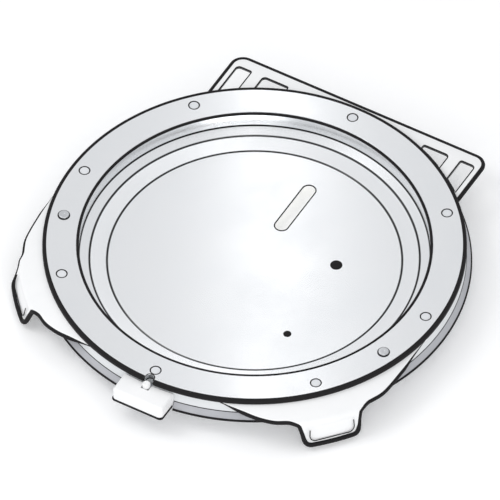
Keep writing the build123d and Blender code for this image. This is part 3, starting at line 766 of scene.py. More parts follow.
@dataclass
class Workshop:
    """The finishes and patterns that every sub-assembly shares."""

    paint: dict[str, bpy.types.Material] = field(default_factory=dict)
    bolt_circle: bpy.types.GeometryNodeTree | None = None
    row: bpy.types.GeometryNodeTree | None = None

    def __post_init__(self) -> None:
        """Builds every finish and pattern once."""
        self.paint = {finish.name: finish.build() for finish in FINISHES}
        self.bolt_circle = bolt_circle_tree()
        self.row = row_tree()

    def dress(self, finish: str, *nodes: str) -> None:
        """Gives CAD nodes that stay a finish.

        Args:
            finish: the finish's name.
            nodes: the CAD nodes.
        """
        for node in nodes:
            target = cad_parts[node]
            target.data.materials.clear()
            target.data.materials.append(self.paint[finish])

    def fit(self, piece: bpy.types.Object, body: str, slot: str, *nodes: str) -> None:
        """Hangs a piece on its body.

        Args:
            piece: the finished object.
            body: the body that it moves with.
            slot: the name of its material slot; not used.
            nodes: the CAD nodes that it stands for.
        """
        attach(piece, body)
        if nodes:
            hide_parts(*nodes)
        LOG.info("%s: %d faces on %s", piece.name, len(piece.data.polygons), body)

    def rubber(self, name: str, mesh: bpy.types.Mesh, body: str = "frame", *nodes: str) -> None:
        """Adds a piece of black rubber.

        Args:
            name: the piece's name.
            mesh: its mesh, already in place.
            body: the body that it moves with.
            nodes: the CAD nodes that it stands for.
        """
        self.fit(new_piece(name, mesh, self.paint["black_epdm"]), body, "black_rubber", *nodes)


@dataclass
class RingPack:
    """The clamp ring with its plugged screws and the gasket under it."""

    shop: Workshop
    screw_inset: float = 22.5 * MM
    side_angle: float = math.radians(42.0)
    cap_radius: float = 8.0 * MM
    cap_height: float = 2.0 * MM
    cord_radius: float = 1.3 * MM
    cord_proud: float = 0.45 * MM
    trim_out: float = 3.6 * MM
    trim_lap: float = 3.2 * MM
    trim_proud: float = 0.25 * MM
    notch_angle: float = 1.5
    notch_depth: float = 11.0 * MM
    notch_gap: float = 0.8 * MM
    notch_cord: float = 0.8 * MM
    pin_angle: float = 71.25
    pin_inset: float = 26.3 * MM
    pin_radius: float = 9.0 * MM

    def build(self) -> None:
        """Dresses the ring and adds its plugs, plug seals and pins."""
        low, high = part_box("clamp_ring")
        self.shop.dress("turned_aluminium", "clamp_ring")
        self.shop.dress("black_epdm", "ring_gasket")
        self.shop.dress("zinc_plate", "ring_screws")
        circle = high.x - self.screw_inset
        sizes = {"Radius": circle, "Side Angle": self.side_angle, "Height": high.z}
        caps = repeat(
            "ring_plugs", self.shop.bolt_circle, self.cap_mesh(), sizes, self.shop.paint["grey_nylon"]
        )
        self.shop.fit(caps, "frame", "cap_plastic", "screw_caps")
        cords = repeat(
            "ring_plug_seals", self.shop.bolt_circle, self.cord_mesh(), sizes, self.shop.paint["black_epdm"]
        )
        self.shop.fit(cords, "frame", "black_rubber")
        self.build_pins(high)
        self.build_trim(low, high)
        self.build_notch_cord(high)

    def build_trim(self, low: Vector, high: Vector) -> None:
        """The rubber trim round the ring's rim, open at the knob's notch.

        Args:
            low: lowest corner of the ring.
            high: highest corner of the ring.
        """
        top = high.z + self.trim_proud
        section = rounded(
            [
                (high.x - 0.5 * MM, low.z, 0.0),
                (high.x + self.trim_out, low.z, 0.8 * MM),
                (high.x + self.trim_out, top - 2.5 * MM, 1.6 * MM),
                (high.x + self.trim_out * 0.6, top, 0.9 * MM),
                (high.x - self.trim_lap, top, 0.2 * MM),
                (high.x - self.trim_lap, high.z - 0.9 * MM, 0.0),
                (high.x - 0.5 * MM, high.z - 1.2 * MM, 0.0),
            ],
            4,
        )
        self.shop.rubber("ring_rim_trim", lathe(section, ROUND, (self.notch_angle, 360 - self.notch_angle)))

    def build_notch_cord(self, high: Vector) -> None:
        """The cord round the knob's notch, on the ring's top face.

        Args:
            high: highest corner of the ring.
        """
        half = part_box("latch_knob")[1].x + self.notch_gap
        around = half + self.notch_cord
        middle = self.notch_depth - high.x - half
        outer = -high.x - 0.5 * MM
        turns = [math.pi * k / 16 for k in range(17)]
        bend = [(around * math.cos(t), middle + around * math.sin(t)) for t in turns]
        path = [(around, outer), *bend, (-around, outer)]
        self.shop.rubber("notch_cord", flat_sweep(path, high.z, (self.notch_cord, self.notch_cord)))

    def cap_mesh(self) -> bpy.types.Mesh:
        """A shallow plug with a rounded rim and a moulded ring on its face.

        Returns:
            The mesh, with the ring's top face at zero height.
        """
        r, h = self.cap_radius, self.cap_height
        section = rounded(
            [
                (r, -h, 0.2 * MM),
                (r, -0.1 * MM, 0.4 * MM),
                (r * 0.80, -0.1 * MM, 0.2 * MM),
                (r * 0.76, -0.45 * MM, 0.15 * MM),
                (r * 0.70, -0.45 * MM, 0.15 * MM),
                (r * 0.66, -0.1 * MM, 0.2 * MM),
                (0.0, -0.02 * MM, 0.0),
                (0.0, -h, 0.0),
            ],
            3,
        )
        return lathe(section, 40)

    def cord_mesh(self) -> bpy.types.Mesh:
        """The round cord that seals a plug in its counterbore."""
        r = self.cord_radius
        return lathe(round_section(r, (self.cap_radius + r, self.cord_proud - r)), 40)

    def build_pins(self, high: Vector) -> None:
        """Adds the two domed pins that locate the ears, each on a rubber washer.

        Args:
            high: highest corner of the ring.
        """
        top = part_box("ear_pins")[1].z - high.z
        r = self.pin_radius
        section = rounded(
            [
                (r, 0.0, 0.0),
                (r, top, top * 0.8),
                (r * 0.30, top, 0.3 * MM),
                (r * 0.22, top - 0.5 * MM, 0.2 * MM),
                (0.0, top - 0.5 * MM, 0.0),
                (0.0, -8 * MM, 0.0),
                (r * 0.55, -8 * MM, 0.0),
                (r * 0.55, 0.0, 0.0),
            ],
            6,
        )
        washer = rounded(
            [
                (r - 0.5 * MM, 0.0, 0.0),
                (r + 2.0 * MM, 0.0, 0.3 * MM),
                (r + 1.4 * MM, 1.4 * MM, 0.6 * MM),
                (r - 0.5 * MM, 1.6 * MM, 0.0),
            ],
            3,
        )
        circle, angle = high.x - self.pin_inset, math.radians(self.pin_angle)
        for side, name in ((-1, "ear_pin_left"), (1, "ear_pin_right")):
            spot = Vector((side * circle * math.sin(angle), -circle * math.cos(angle), high.z))
            piece = new_piece(name, moved(lathe(section, 48), spot), self.shop.paint["ground_steel"])
            self.shop.fit(piece, "frame", "pin_steel", "ear_pins")
            self.shop.rubber(name + "_washer", moved(lathe(washer, 48), spot))


@dataclass
class Frame:
    """The fixed frame and the two seals that belong to it."""

    shop: Workshop
    seal_inset: float = 13.0 * MM
    seal_foot: float = 10.0 * MM
    bead: float = 1.0 * MM
    notch_angle: float = 7.9
    under_height: float = 7.5 * MM
    foot_bead: float = 2.4 * MM

    def build(self) -> None:
        """Dresses the casting and builds the flared seal."""
        self.shop.dress("painted_casting", "frame_ring")
        self.shop.dress("black_epdm", "seat_gasket")
        low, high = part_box("flange_seal")
        outer, foot = high.x, high.x - self.seal_foot
        inner = foot - self.seal_inset
        b = self.bead
        section = rounded(
            [
                (inner, low.z, 0.5 * MM),
                (outer - 6 * b, low.z, 0.0),
                (outer - 5 * b, low.z + b, 0.0),
                (outer - 4 * b, low.z, 0.0),
                (outer - 0.4 * MM, low.z, 1.2 * MM),
                (outer - 1.6 * MM, low.z + 3.4 * MM, 1.0 * MM),
                (foot + 0.6 * MM, high.z - 2.2 * MM, 0.6 * MM),
                (foot + 0.9 * MM, high.z - 1.2 * MM, 0.5 * MM),
                (foot + 0.4 * MM, high.z, 0.4 * MM),
                (inner, high.z, 0.5 * MM),
            ],
            4,
        )
        # Painted shade: the seal's top, where it meets the wall, and its outer foot are darkened as if in
        # shadow.
        painted_dark = [r > foot and (r > outer - b or z > high.z - 1.3 * MM) for r, z in section]
        arc = (self.notch_angle, 360 - self.notch_angle)
        mesh = lathe(section, ROUND, arc, [float(d) for d in painted_dark])
        skirt = new_piece("skirt_seal", mesh, self.shop.paint["grey_epdm"])
        self.shop.fit(skirt, "frame", "grey_rubber", "flange_seal")
        foot_r = self.foot_bead
        ring = round_section(foot_r, (outer - foot_r, low.z + foot_r), 10)
        self.shop.rubber("skirt_foot_bead", lathe(ring, ROUND, arc))
        flat = rounded(
            [
                (inner, low.z, 0.5 * MM),
                (foot, low.z, 0.5 * MM),
                (foot, low.z + self.under_height, 0.5 * MM),
                (inner, low.z + self.under_height, 0.5 * MM),
            ],
            3,
        )
        mesh = lathe(flat, 24, (-self.notch_angle, self.notch_angle))
        under = new_piece("skirt_seal_under_latch", mesh, self.shop.paint["grey_epdm"])
        self.shop.fit(under, "frame", "grey_rubber", "flange_seal")


@dataclass
class Ear:
    """A pressed ear: a sloping shell with a turned-down edge and a tongue."""

    shop: Workshop
    side: int
    thickness: float = 3.0 * MM
    bend_out: float = 1.5 * MM
    crest_drop: float = 13.5 * MM
    crest_out: float = 46.6 * MM
    tip_out: float = 56.8 * MM
    lip: float = 8.0 * MM
    corner: float = 18.0 * MM
    border: float = 9.0 * MM
    panel_depth: float = 1.6 * MM
    wing_angles: Point = (20.5, 84.0)
    root_angles: Point = (32.0, 78.0)
    tongue_angles: Point = (41.2, 56.3)
    outline: tuple[Point, ...] = (
        (20.5, 0.8),
        (26.0, 12.5),
        (31.0, 26.0),
        (35.0, 34.0),
        (38.6, 35.5),
        (41.6, 46.6),
        (55.9, 46.6),
        (59.0, 35.0),
        (63.5, 33.0),
        (70.0, 19.5),
        (77.0, 7.5),
        (84.0, 0.8),
    )
    steep_from: Point = (38.6, 55.9)
    root_in: float = 25.0 * MM
    taper: float = 14.0 * MM  # reach below which the lip and the edging get slimmer
    columns: int = 210
    easing: float = 1.3
    edging: float = 4.2 * MM
    edging_out: float = 1.0 * MM
    edging_lap: float = 0.6 * MM
    grip_inset: float = 14.0 * MM
    grip_height: float = 33.0 * MM
    grip_radius: float = 0.9 * MM

    def corner_out(self, angle: float) -> float:
        """How far the outline stands out from the ring's rim, in millimetres, before its corners are eased.

        Args:
            angle: degrees from the latch side.

        Returns:
            The distance, read between the outline's corners.
        """
        angle = max(angle, self.outline[0][0])
        for (a0, r0), (a1, r1) in zip(self.outline, self.outline[1:]):
            if angle <= a1:
                share = (angle - a0) / (a1 - a0)
                beside_tongue = a0 in self.steep_from
                return r0 + (r1 - r0) * (smoothstep(0, 1, share) if beside_tongue else share)
        return self.outline[-1][1]

    def edge_out(self, angle: float) -> float:
        """How far the eased outline stands out from the ring's rim at an angle."""
        steps = range(-4, 5)
        return sum(self.corner_out(angle + self.easing * k / 4) * MM for k in steps) / len(steps)

    def build(self) -> None:
        """Builds the shell from one profile per angle and thickens it."""
        name = "ear_left" if self.side < 0 else "ear_right"
        low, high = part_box(name)
        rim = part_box("clamp_ring")[1].x
        root_z, tip_z = high.z, low.z
        start, stop = self.wing_angles
        work = bmesh.new()
        grid = []
        edge_path, outward, swell = [], [], []
        for column in range(self.columns + 1):
            angle = start + (stop - start) * column / self.columns
            profile = self.profile(angle, rim, root_z, tip_z)
            turn = math.radians(angle) * self.side
            grid.append([work.verts.new((r * math.sin(turn), -r * math.cos(turn), z)) for r, z in profile])
            edge_r, edge_z = profile[-1]
            out = heading(turn)
            edge_path.append(out * (edge_r - self.thickness / 2) + Vector((0, 0, edge_z)))
            outward.append(out)
            swell.append(0.4 + 0.6 * smoothstep(0, self.taper, edge_r - rim - self.bend_out))
        for here, there in zip(grid, grid[1:]):
            for a, b, c, d in zip(here, there, there[1:], here[1:]):
                work.faces.new((a, b, c, d) if self.side > 0 else (a, d, c, b))
        mesh = bpy.data.meshes.new(name)
        work.normal_update()
        if sum(f.normal.z for f in work.faces) < 0:
            bmesh.ops.reverse_faces(work, faces=work.faces)
        work.to_mesh(mesh)
        work.free()
        piece = new_piece(name + "_shell", mesh, self.shop.paint["white_powder_coat"], 40)
        wall = piece.modifiers.new("wall", "SOLIDIFY")
        wall.thickness = self.thickness
        wall.offset = -1.0
        wall.use_even_offset = False
        edge = piece.modifiers.new("edge", "BEVEL")
        edge.width = 0.7 * MM
        edge.segments = 2
        edge.limit_method = "ANGLE"
        edge.angle_limit = math.radians(55)
        settle(piece)
        self.shop.fit(piece, "frame", "white_coating", name)
        self.build_edging(name, edge_path, outward, swell)
        self.build_grip(name, rim, root_z, tip_z)

    def build_edging(
        self, name: str, edge: Sequence[Vector], outward: Sequence[Vector], swell: Sequence[float]
    ) -> None:
        """The rubber bead pushed over the shell's free edge, slimmer towards the ring.

        Args:
            name: the ear's name.
            edge: the points of the free edge.
            outward: at each point, the direction away from the ring.
            swell: at each point, a factor on the bead's size.
        """
        centre = []
        for i, spot in enumerate(edge):
            rise = path_direction(edge, i).cross(outward[i]).normalized() * -self.side
            lift = rise * (self.edging * swell[i] - self.edging_lap)
            centre.append(spot + lift + outward[i] * self.edging_out * swell[i])
        bead = sweep(centre, outward, (self.edging, self.edging), 16, swell=swell)
        self.shop.rubber(name + "_edging", bead)

    def build_grip(self, name: str, rim: float, root_z: float, tip_z: float) -> None:
        """The slim rubber bead set into the tongue's face, parallel to its edge.

        Args:
            name: the ear's name.
            rim: the ring's outer radius.
            root_z: height of the root's top face.
            tip_z: height of the tongue's tip.
        """
        first, last = self.tongue_angles
        middle = (first + last) / 2
        crest_z = root_z - self.crest_drop
        tip_r, crest_r = rim + self.tip_out, rim + self.crest_out
        half = math.radians(last - first) / 2 * tip_r - self.grip_inset
        corners = rounded(
            [
                (-half + 1.5 * MM, self.grip_height, 0.0),
                (-half, self.grip_inset * 0.8, self.corner * 0.6),
                (half, self.grip_inset * 0.8, self.corner * 0.6),
                (half, self.grip_height, 0.0),
            ],
            10,
        )
        path, aside = [], []
        for along, height in corners:
            radius = tip_r - (tip_r - crest_r) * height / (crest_z - tip_z)
            turn = (math.radians(middle) + along / tip_r) * self.side
            out = heading(turn)
            path.append(out * (radius - self.panel_depth + 0.2 * MM) + Vector((0, 0, tip_z + height)))
            aside.append(out)
        self.shop.rubber(name + "_grip_bead", sweep(path, aside, (self.grip_radius, self.grip_radius), 8))

    def profile(self, angle: float, rim: float, root_z: float, tip_z: float) -> list[Point]:
        """The shell's section at one angle.

        Args:
            angle: degrees from the latch side.
            rim: the ring's outer radius.
            root_z: height of the root's top face.
            tip_z: height of the tongue's tip.

        Returns:
            Radius and height of each point, from the root to the lower edge.
        """
        low, high = self.tongue_angles
        middle = (low + high) / 2
        if angle < middle:
            tip_share = (angle - self.wing_angles[0]) / (self.root_angles[0] - self.wing_angles[0])
        else:
            tip_share = (self.wing_angles[1] - angle) / (self.wing_angles[1] - self.root_angles[1])
        inner = rim + 0.5 * MM - self.root_in * min(1.0, max(0.0, tip_share))
        edge = rim + max(self.edge_out(angle), self.bend_out + 0.3 * MM)
        half_width = math.radians(high - low) / 2 * (rim + self.tip_out)
        side_gap = half_width - abs(math.radians(angle - middle)) * (rim + self.tip_out)
        tongue = smoothstep(-7 * MM, 2.5 * MM, side_gap)
        fall = self.crest_drop / (self.crest_out - self.bend_out)
        start = rim + self.bend_out
        reach = edge - start
        taper = smoothstep(0, self.taper, reach)
        bend = (2.0 + 5.0 * tongue) * MM * (0.2 + 0.8 * taper)
        edge_z = root_z - reach * fall
        corner = self.corner
        inside = min(max(side_gap, 0.0), corner)
        tip = tip_z + corner - math.sqrt(max(0.0, corner**2 - (corner - inside) ** 2))
        lip_z = edge_z - self.lip * (0.35 + 0.65 * taper)
        bottom = lip_z + (tip - lip_z) * tongue
        lean = (self.tip_out - self.crest_out) * tongue
        points = [(inner + (start - inner) * k / 4, root_z) for k in range(5)]
        slope_end = edge - bend
        slope = [(slope_end - start) * k / 12 for k in range(1, 13)]
        points += [(start + along, root_z - along * fall) for along in slope]
        z_end = points[-1][1]
        first, last = -math.atan(fall), -math.pi / 2 + math.atan2(lean, edge_z - tip_z)
        for k in range(1, 9):
            turn = first + (last - first) * k / 8
            r = slope_end + bend * (math.sin(-turn) - math.sin(-first))
            points.append((r, z_end - bend * (math.cos(first) - math.cos(turn))))
        r_top, z_top = points[-1]
        drop = max(z_top - bottom, 0.5 * MM)
        full = max(z_top - tip_z, 1 * MM)
        for k in range(1, 29):
            z = z_top - drop * k / 28
            r = r_top + lean * (z_top - z) / full
            into_side = smoothstep(self.border - 1.0 * MM, self.border + 1.0 * MM, side_gap)
            below = smoothstep(7.0 * MM, 9.0 * MM, z - bottom)
            above = smoothstep(3 * MM, 9 * MM, z_top - z)
            points.append((r - self.panel_depth * into_side * below * above * tongue, z))
        return points


@dataclass
class RearGrid:
    """The flat plate with windows behind the ring."""

    shop: Workshop
    corner: float = 25.0 * MM
    margin: float = 23.0 * MM
    bevel: float = 0.9 * MM
    window_gap: float = 5.2 * MM
    window_corner: float = 3.5 * MM
    root_in: float = 20.0 * MM
    root_reach: float = 94.0 * MM
    root_corner: float = 12.0 * MM
    edging: float = 4.0 * MM
    edging_out: float = 2.2 * MM
    edging_proud: float = 1.2 * MM
    lip: float = 1.15 * MM
    lip_sunk: float = 0.3 * MM
    windows: tuple[Point, ...] = ((132.0, 183.0), (204.0, 234.0))
    openings: list[list[Point]] = field(default_factory=list)

    def build(self) -> None:
        """Draws the plate with rounded edges and closes it."""
        low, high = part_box("rear_grid")
        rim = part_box("clamp_ring")[1].x
        b = self.bevel
        inset = self.edging - self.edging_out
        half, far = high.x - inset, high.y - inset
        root = rim - self.root_in
        near = max(low.y + b, rim - self.root_reach)
        side_angle = math.asin(min(1.0, (half - self.root_corner) / root))
        turns = [side_angle * (k / 20 - 1) for k in range(41)]
        back = [(root * math.sin(t), root * math.cos(t), 0.0) for t in turns]
        corner = self.corner - b
        front = [(half, far, corner), (-half, far, corner), (-half, near, 0.0)]
        outline = rounded([*front, *back, (half, near, 0.0)], 8)
        shape = bpy.data.curves.new("rear_grid", "CURVE")
        shape.dimensions = "2D"
        shape.fill_mode = "BOTH"
        shape.extrude = (high.z - low.z) / 2 - b
        shape.bevel_depth = b
        shape.bevel_resolution = 3
        self.spline(shape, outline)
        top = high.y - self.margin
        arc_r = rim + self.window_gap + b
        for inner, outer in self.windows:
            for side in (-1, 1):
                outline = self.window(side, inner * MM + b, outer * MM - b, top - b, arc_r)
                self.openings.append(outline)
                self.spline(shape, outline)
        maker = new_object("rear_grid_maker", shape)
        graph = bpy.context.evaluated_depsgraph_get()
        mesh = bpy.data.meshes.new_from_object(maker.evaluated_get(graph))
        bpy.data.objects.remove(maker)
        for vert in mesh.vertices:
            vert.co.z += (high.z + low.z) / 2
        work = bmesh.new()
        work.from_mesh(mesh)
        bmesh.ops.remove_doubles(work, verts=work.verts, dist=0.02 * MM)
        bmesh.ops.recalc_face_normals(work, faces=work.faces)
        layer = work.verts.layers.float.new("soil")
        # Painted shade: inside the plate's margin, the walls of the windows and of the edge along the ring,
        # and the underside, are darkened as if in shadow.
        for vert in work.verts:
            inside = vert.co.y < high.y - self.margin / 2 and abs(vert.co.x) < half - self.margin / 3
            vert[layer] = 0.9 if inside and vert.co.z < high.z - 0.3 * b else 0.0
        work.to_mesh(mesh)
        work.free()
        piece = new_piece("rear_grid_plate", mesh, self.shop.paint["white_powder_coat"])
        self.shop.fit(piece, "frame", "white_coating", "rear_grid")
        self.shop.dress("zinc_plate", "grid_rivets")
        self.build_edging(low, high, rim)

    def build_edging(self, low: Vector, high: Vector, rim: float) -> None:
        """The rubber channel on the plate's free edge and the lips of its windows.

        Args:
            low: lowest corner of the plate.
            high: highest corner of the plate.
            rim: the ring's outer radius.
        """
        width = self.edging
        half, far = high.x - width + self.edging_out, high.y - width + self.edging_out
        start = math.sqrt(max(rim**2 - half**2, 0.0)) + 1 * MM
        corner = self.corner - width
        bends = [(half, start, 0.0), (half, far, corner), (-half, far, corner), (-half, start, 0.0)]
        size = (width, (high.z - low.z) / 2 + self.edging_proud)
        trim = flat_sweep(rounded(bends, 12), (low.z + high.z) / 2, size)
        self.shop.rubber("rear_grid_edging", trim)
        for number, outline in enumerate(self.openings, 1):
            lip = flat_sweep(outline, high.z - self.lip_sunk, (self.lip, self.lip), closed=True)
            self.shop.rubber(f"grid_window_lip_{number}", lip)

    def window(self, side: int, inner: float, outer: float, top: float, rim: float) -> list[Point]:
        """One window: three straight sides and an arc that follows the ring.

        Args:
            side: -1 for the left of the plate, 1 for the right.
            inner: the side nearer the middle.
            outer: the side nearer the plate's end.
            top: the far side.
            rim: radius of the arc.

        Returns:
            The window's rounded outline.
        """
        corners = [(inner, top, self.window_corner), (outer, top, self.window_corner * 2)]
        for k in range(9):
            x = outer + (inner - outer) * k / 8
            corners.append((x, min(math.sqrt(max(rim**2 - x**2, 0.0)), top - 2 * MM), 0.0))
        if side < 0:
            corners = [(-x, y, r) for x, y, r in reversed(corners)]
        return rounded(corners, 6)

    @staticmethod
    def spline(shape: bpy.types.Curve, points: Sequence[Point]) -> None:
        """Adds a closed straight-sided outline to a flat curve.

        Args:
            shape: the curve.
            points: the outline's corners.
        """
        line = shape.splines.new("POLY")
        line.points.add(len(points) - 1)
        for target, (x, y) in zip(line.points, points):
            target.co = (x, y, 0.0, 1.0)
        line.use_cyclic_u = True


@dataclass
class Latch:
    """The latch on the front of the frame."""

    shop: Workshop
    ribs: int = 4
    rib_pitch: float = 2.4 * MM
    rib_width: float = 9.0 * MM
    rib_height: float = 0.7 * MM
    seal_half: float = 2.9 * MM
    seal_out: float = 1.6 * MM
    seal_up: float = 5.6 * MM
    housing_corner: float = 7.0 * MM

    def build(self) -> None:
        """Dresses the latch's pieces and adds the knob's grip ribs."""
        self.shop.dress("white_powder_coat", "latch_housing", "latch_knob")
        self.shop.dress("zinc_plate", "latch_base", "latch_screws", "housing_screws", "latch_bolt")
        self.shop.dress("blued_steel", "latch_spring")
        self.build_dust_seal()
        low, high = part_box("latch_knob")
        w, h = self.rib_width / 2, self.rib_height
        section = [(h * math.cos(math.pi * k / 8), h * math.sin(math.pi * k / 8)) for k in range(9)]
        work = bmesh.new()
        ends = [[work.verts.new((x, y, z)) for y, z in section] for x in (-w, w)]
        for a, b, c, d in zip(ends[0], ends[1], ends[1][1:], ends[0][1:]):
            work.faces.new((a, b, c, d))
        work.faces.new((ends[0][0], ends[0][-1], ends[1][-1], ends[1][0]))
        work.faces.new(ends[0])
        work.faces.new(list(reversed(ends[1])))
        middle = (low.y + high.y) / 2
        values = {
            "Count": self.ribs,
            "Start": (0.0, middle - self.rib_pitch * (self.ribs - 1) / 2, high.z - 0.05 * MM),
            "Step": (0.0, self.rib_pitch, 0.0),
            "Radius": 0.0,
        }
        rib, finish = closed_mesh(work, "rib"), self.shop.paint["white_powder_coat"]
        piece = repeat("knob_grip_ribs", self.shop.row, rib, values, finish)
        self.shop.fit(piece, "latch", "white_coating")

    def build_dust_seal(self) -> None:
        """The rubber channel on the lower edge of the housing."""
        low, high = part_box("latch_housing")
        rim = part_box("clamp_ring")[1].x
        w = self.seal_half
        half, front = high.x - w + self.seal_out, low.y + w - self.seal_out
        near, corner = -rim - 6 * MM, self.housing_corner - w
        bends = [(half, near, 0.0), (half, front, corner), (-half, front, corner), (-half, near, 0.0)]
        self.shop.rubber("housing_dust_seal", flat_sweep(rounded(bends, 8), low.z + self.seal_up, (w, w)))


@dataclass
class Cover:
    """The lift-out pan with its edge seal, plugs, pocket and ribs."""

    shop: Workshop
    sheet: float = 2.0 * MM
    shoulder_width: float = 18.0 * MM
    dish_width: float = 29.8 * MM
    wall_rise: float = 13.1 * MM
    shoulder_rise: float = 6.2 * MM
    groove: float = 1.9 * MM
    groove_depth: float = 0.7 * MM
    slot_width: float = 24.5 * MM
    slot_length: float = 117.0 * MM
    lip: float = 1.15 * MM
    welds: int = 12
    sharp: float = 12.0  # creases of the sheet that turn by more degrees stay sharp
    through: float = 5.0 * MM  # how far a cutter stands past the sheet
    bolt_gap: float = 0.5 * MM
    plug_lap: float = 2.3 * MM  # how far a plug's head laps its hole

    def build(self) -> None:
        """Builds the pan and the pieces on it."""
        self.build_pan()
        self.build_edge_seal()
        self.build_plug("drain_bung", 3)
        self.build_plug("breather_plug", 2)
        self.shop.dress("white_enamel", "key_pocket", "slot_plate")
        ribs = [f"pan_rib_{place}" for place in ("cross", "front", "left", "right")]
        self.shop.dress("pressed_aluminium", "keeper_cup", *ribs)
        self.build_welds()

    def section(self, low: Vector, high: Vector) -> tuple[list[Point], list[float]]:
        """The sheet's closed section and the painted shade that darkens its creases.

        Args:
            low: lowest corner of the pan.
            high: highest corner of the pan.

        Returns:
            The section's points and one painted shade value for each.
        """
        outer = high.x
        inner = outer - self.sheet
        shoulder, floor = inner - self.shoulder_width, inner - self.shoulder_width - self.dish_width
        floor_z = low.z + self.sheet
        path = [
            Vector((0.0, floor_z)),
            Vector((floor, floor_z)),
            Vector((shoulder, floor_z + self.shoulder_rise)),
            Vector((inner, floor_z + self.wall_rise)),
            Vector((inner, high.z)),
        ]
        points: list[Point] = [tuple(path[0])]
        soil = [0.0]
        for before, here, after in zip(path, path[1:], path[2:]):
            back = (before - here).normalized()
            on = (after - here).normalized()
            into = Vector((0.5, -0.87)) if here.x > floor + 1 * MM else Vector((0.1, -1.0))
            # The bottom and flanks of each crease's groove get painted shade, as if the groove lay in
            # shadow.
            edge, flank = self.groove * 1.3, self.groove * 0.7
            for spot, shade_amount in (
                (here + back * edge, 0.0),
                (here + back * flank, 0.9),
                (here + into * self.groove_depth, 1.0),
                (here + on * flank, 0.9),
                (here + on * edge, 0.0),
            ):
                points.append(tuple(spot))
                soil.append(shade_amount)
        points += [(inner, high.z), (outer, high.z)]
        soil += [0.0, 0.0]
        t = self.sheet
        outside = [
            (outer, floor_z + self.wall_rise - 0.4 * t),
            (outer - 0.5 * t, floor_z + self.wall_rise - 1.0 * t),
            (shoulder + 0.3 * t, floor_z + self.shoulder_rise - 1.02 * t),
            (floor + 0.1 * t, low.z),
            (0.0, low.z),
        ]
        points += outside
        soil += [0.0] * len(outside)
        return points, soil

    def build_pan(self) -> None:
        """Turns the sheet and cuts the key slot, the bolt's hole and the plugs' holes."""
        low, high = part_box("pan")
        points, soil = self.section(low, high)
        sheet = lathe(points, ROUND, soil=soil)
        piece = new_piece("dished_pan", sheet, self.shop.paint["pressed_aluminium"], self.sharp)
        pocket_low, pocket_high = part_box("key_pocket")
        slot_y = (pocket_low.y + pocket_high.y) / 2
        half, r = self.slot_length / 2 - self.slot_width / 2, self.slot_width / 2
        slot = []
        for end in (1, -1):
            turns = [math.pi * k / 16 for k in range(17)]
            slot += [(end * r * math.cos(t), slot_y + end * (half + r * math.sin(t))) for t in turns]
        bolt_low, bolt_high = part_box("latch_bolt")
        gap, past = self.bolt_gap, self.through
        left, right = bolt_low.x - gap, bolt_high.x + gap
        front, back = low.y - past, low.y + past + 1 * MM
        hole = [(right, front), (right, back), (left, back), (left, front)]
        cutters = [
            prism(slot, low.z - past, low.z + past),
            prism(hole, bolt_low.z - gap, bolt_high.z + gap),
        ]
        for node in ("drain_bung", "breather_plug"):
            a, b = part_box(node)
            middle, hole_r = (a + b) / 2, (b.x - a.x) / 2 - self.plug_lap
            cutters.append(prism(round_section(hole_r, middle.xy, 32), low.z - past, low.z + past))
        lip = flat_sweep(slot, low.z + self.sheet - 0.2 * MM, (self.lip, self.lip), closed=True)
        self.shop.rubber("key_slot_lip", lip, "cover")
        cut(piece, cutters)
        piece.data.set_sharp_from_angle(angle=math.radians(self.sharp))
        self.shop.fit(piece, "cover", "pan_aluminium", "pan")

    def build_edge_seal(self) -> None:
        """The rubber channel round the mouth, with a bulb on top and a lip on each side."""
        low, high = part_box("pan_edge_seal")
        outer, wall_out = high.x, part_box("pan")[1].x
        wall_in, inner = wall_out - self.sheet, wall_out - self.sheet - 0.7 * MM
        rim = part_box("pan")[1].z
        section = rounded(
            [
                (inner, rim - 1.4 * MM, 0.3 * MM),
                (wall_in, rim - 1.4 * MM, 0.2 * MM),
                (wall_in, rim, 0.0),
                (wall_out, rim, 0.0),
                (wall_out, low.z, 0.2 * MM),
                (outer - 0.5 * MM, low.z, 0.4 * MM),
                (outer - 0.2 * MM, low.z + 2.4 * MM, 0.4 * MM),
                (outer - 0.9 * MM, low.z + 3.4 * MM, 0.4 * MM),
                (outer, high.z - 2.2 * MM, 1.0 * MM),
                (outer - 0.4 * MM, high.z, 1.0 * MM),
                (inner, high.z, 1.3 * MM),
            ],
            4,
        )
        self.shop.rubber("mouth_channel", lathe(section, ROUND), "cover", "pan_edge_seal")

    def build_plug(self, node: str, rings: int) -> None:
        """A domed rubber plug with moulded rings, a stem and a barb.

        Args:
            node: the CAD plug.
            rings: the number of raised rings on its head.
        """
        low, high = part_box(node)
        middle = (low + high) / 2
        floor_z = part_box("pan")[0].z + self.sheet
        r, head = (high.x - low.x) / 2, high.z - floor_z
        top = []
        steps = 10 * rings
        for k in range(steps + 1):
            share = 1 - k / steps
            dome = head * 0.8 * math.cos(share * math.pi / 2) ** 0.5 if share < 1 else 0.0
            ripple = head * 0.1 * (1 + math.cos(share * rings * math.tau)) * (1 if 0 < share < 1 else 0)
            top.append((r * share, floor_z + dome + ripple))
        stem = r - 2.4 * MM
        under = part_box("pan")[0].z
        tail = [
            (0.0, low.z),
            (stem * 0.8, low.z),
            (stem + 1.3 * MM, under - 1.6 * MM),
            (stem, under - 0.1 * MM),
            (stem, floor_z),
        ]
        plug = moved(lathe(top + tail, 56), Vector((middle.x, middle.y, 0.0)))
        self.shop.rubber(node + "_head", plug, "cover", node)

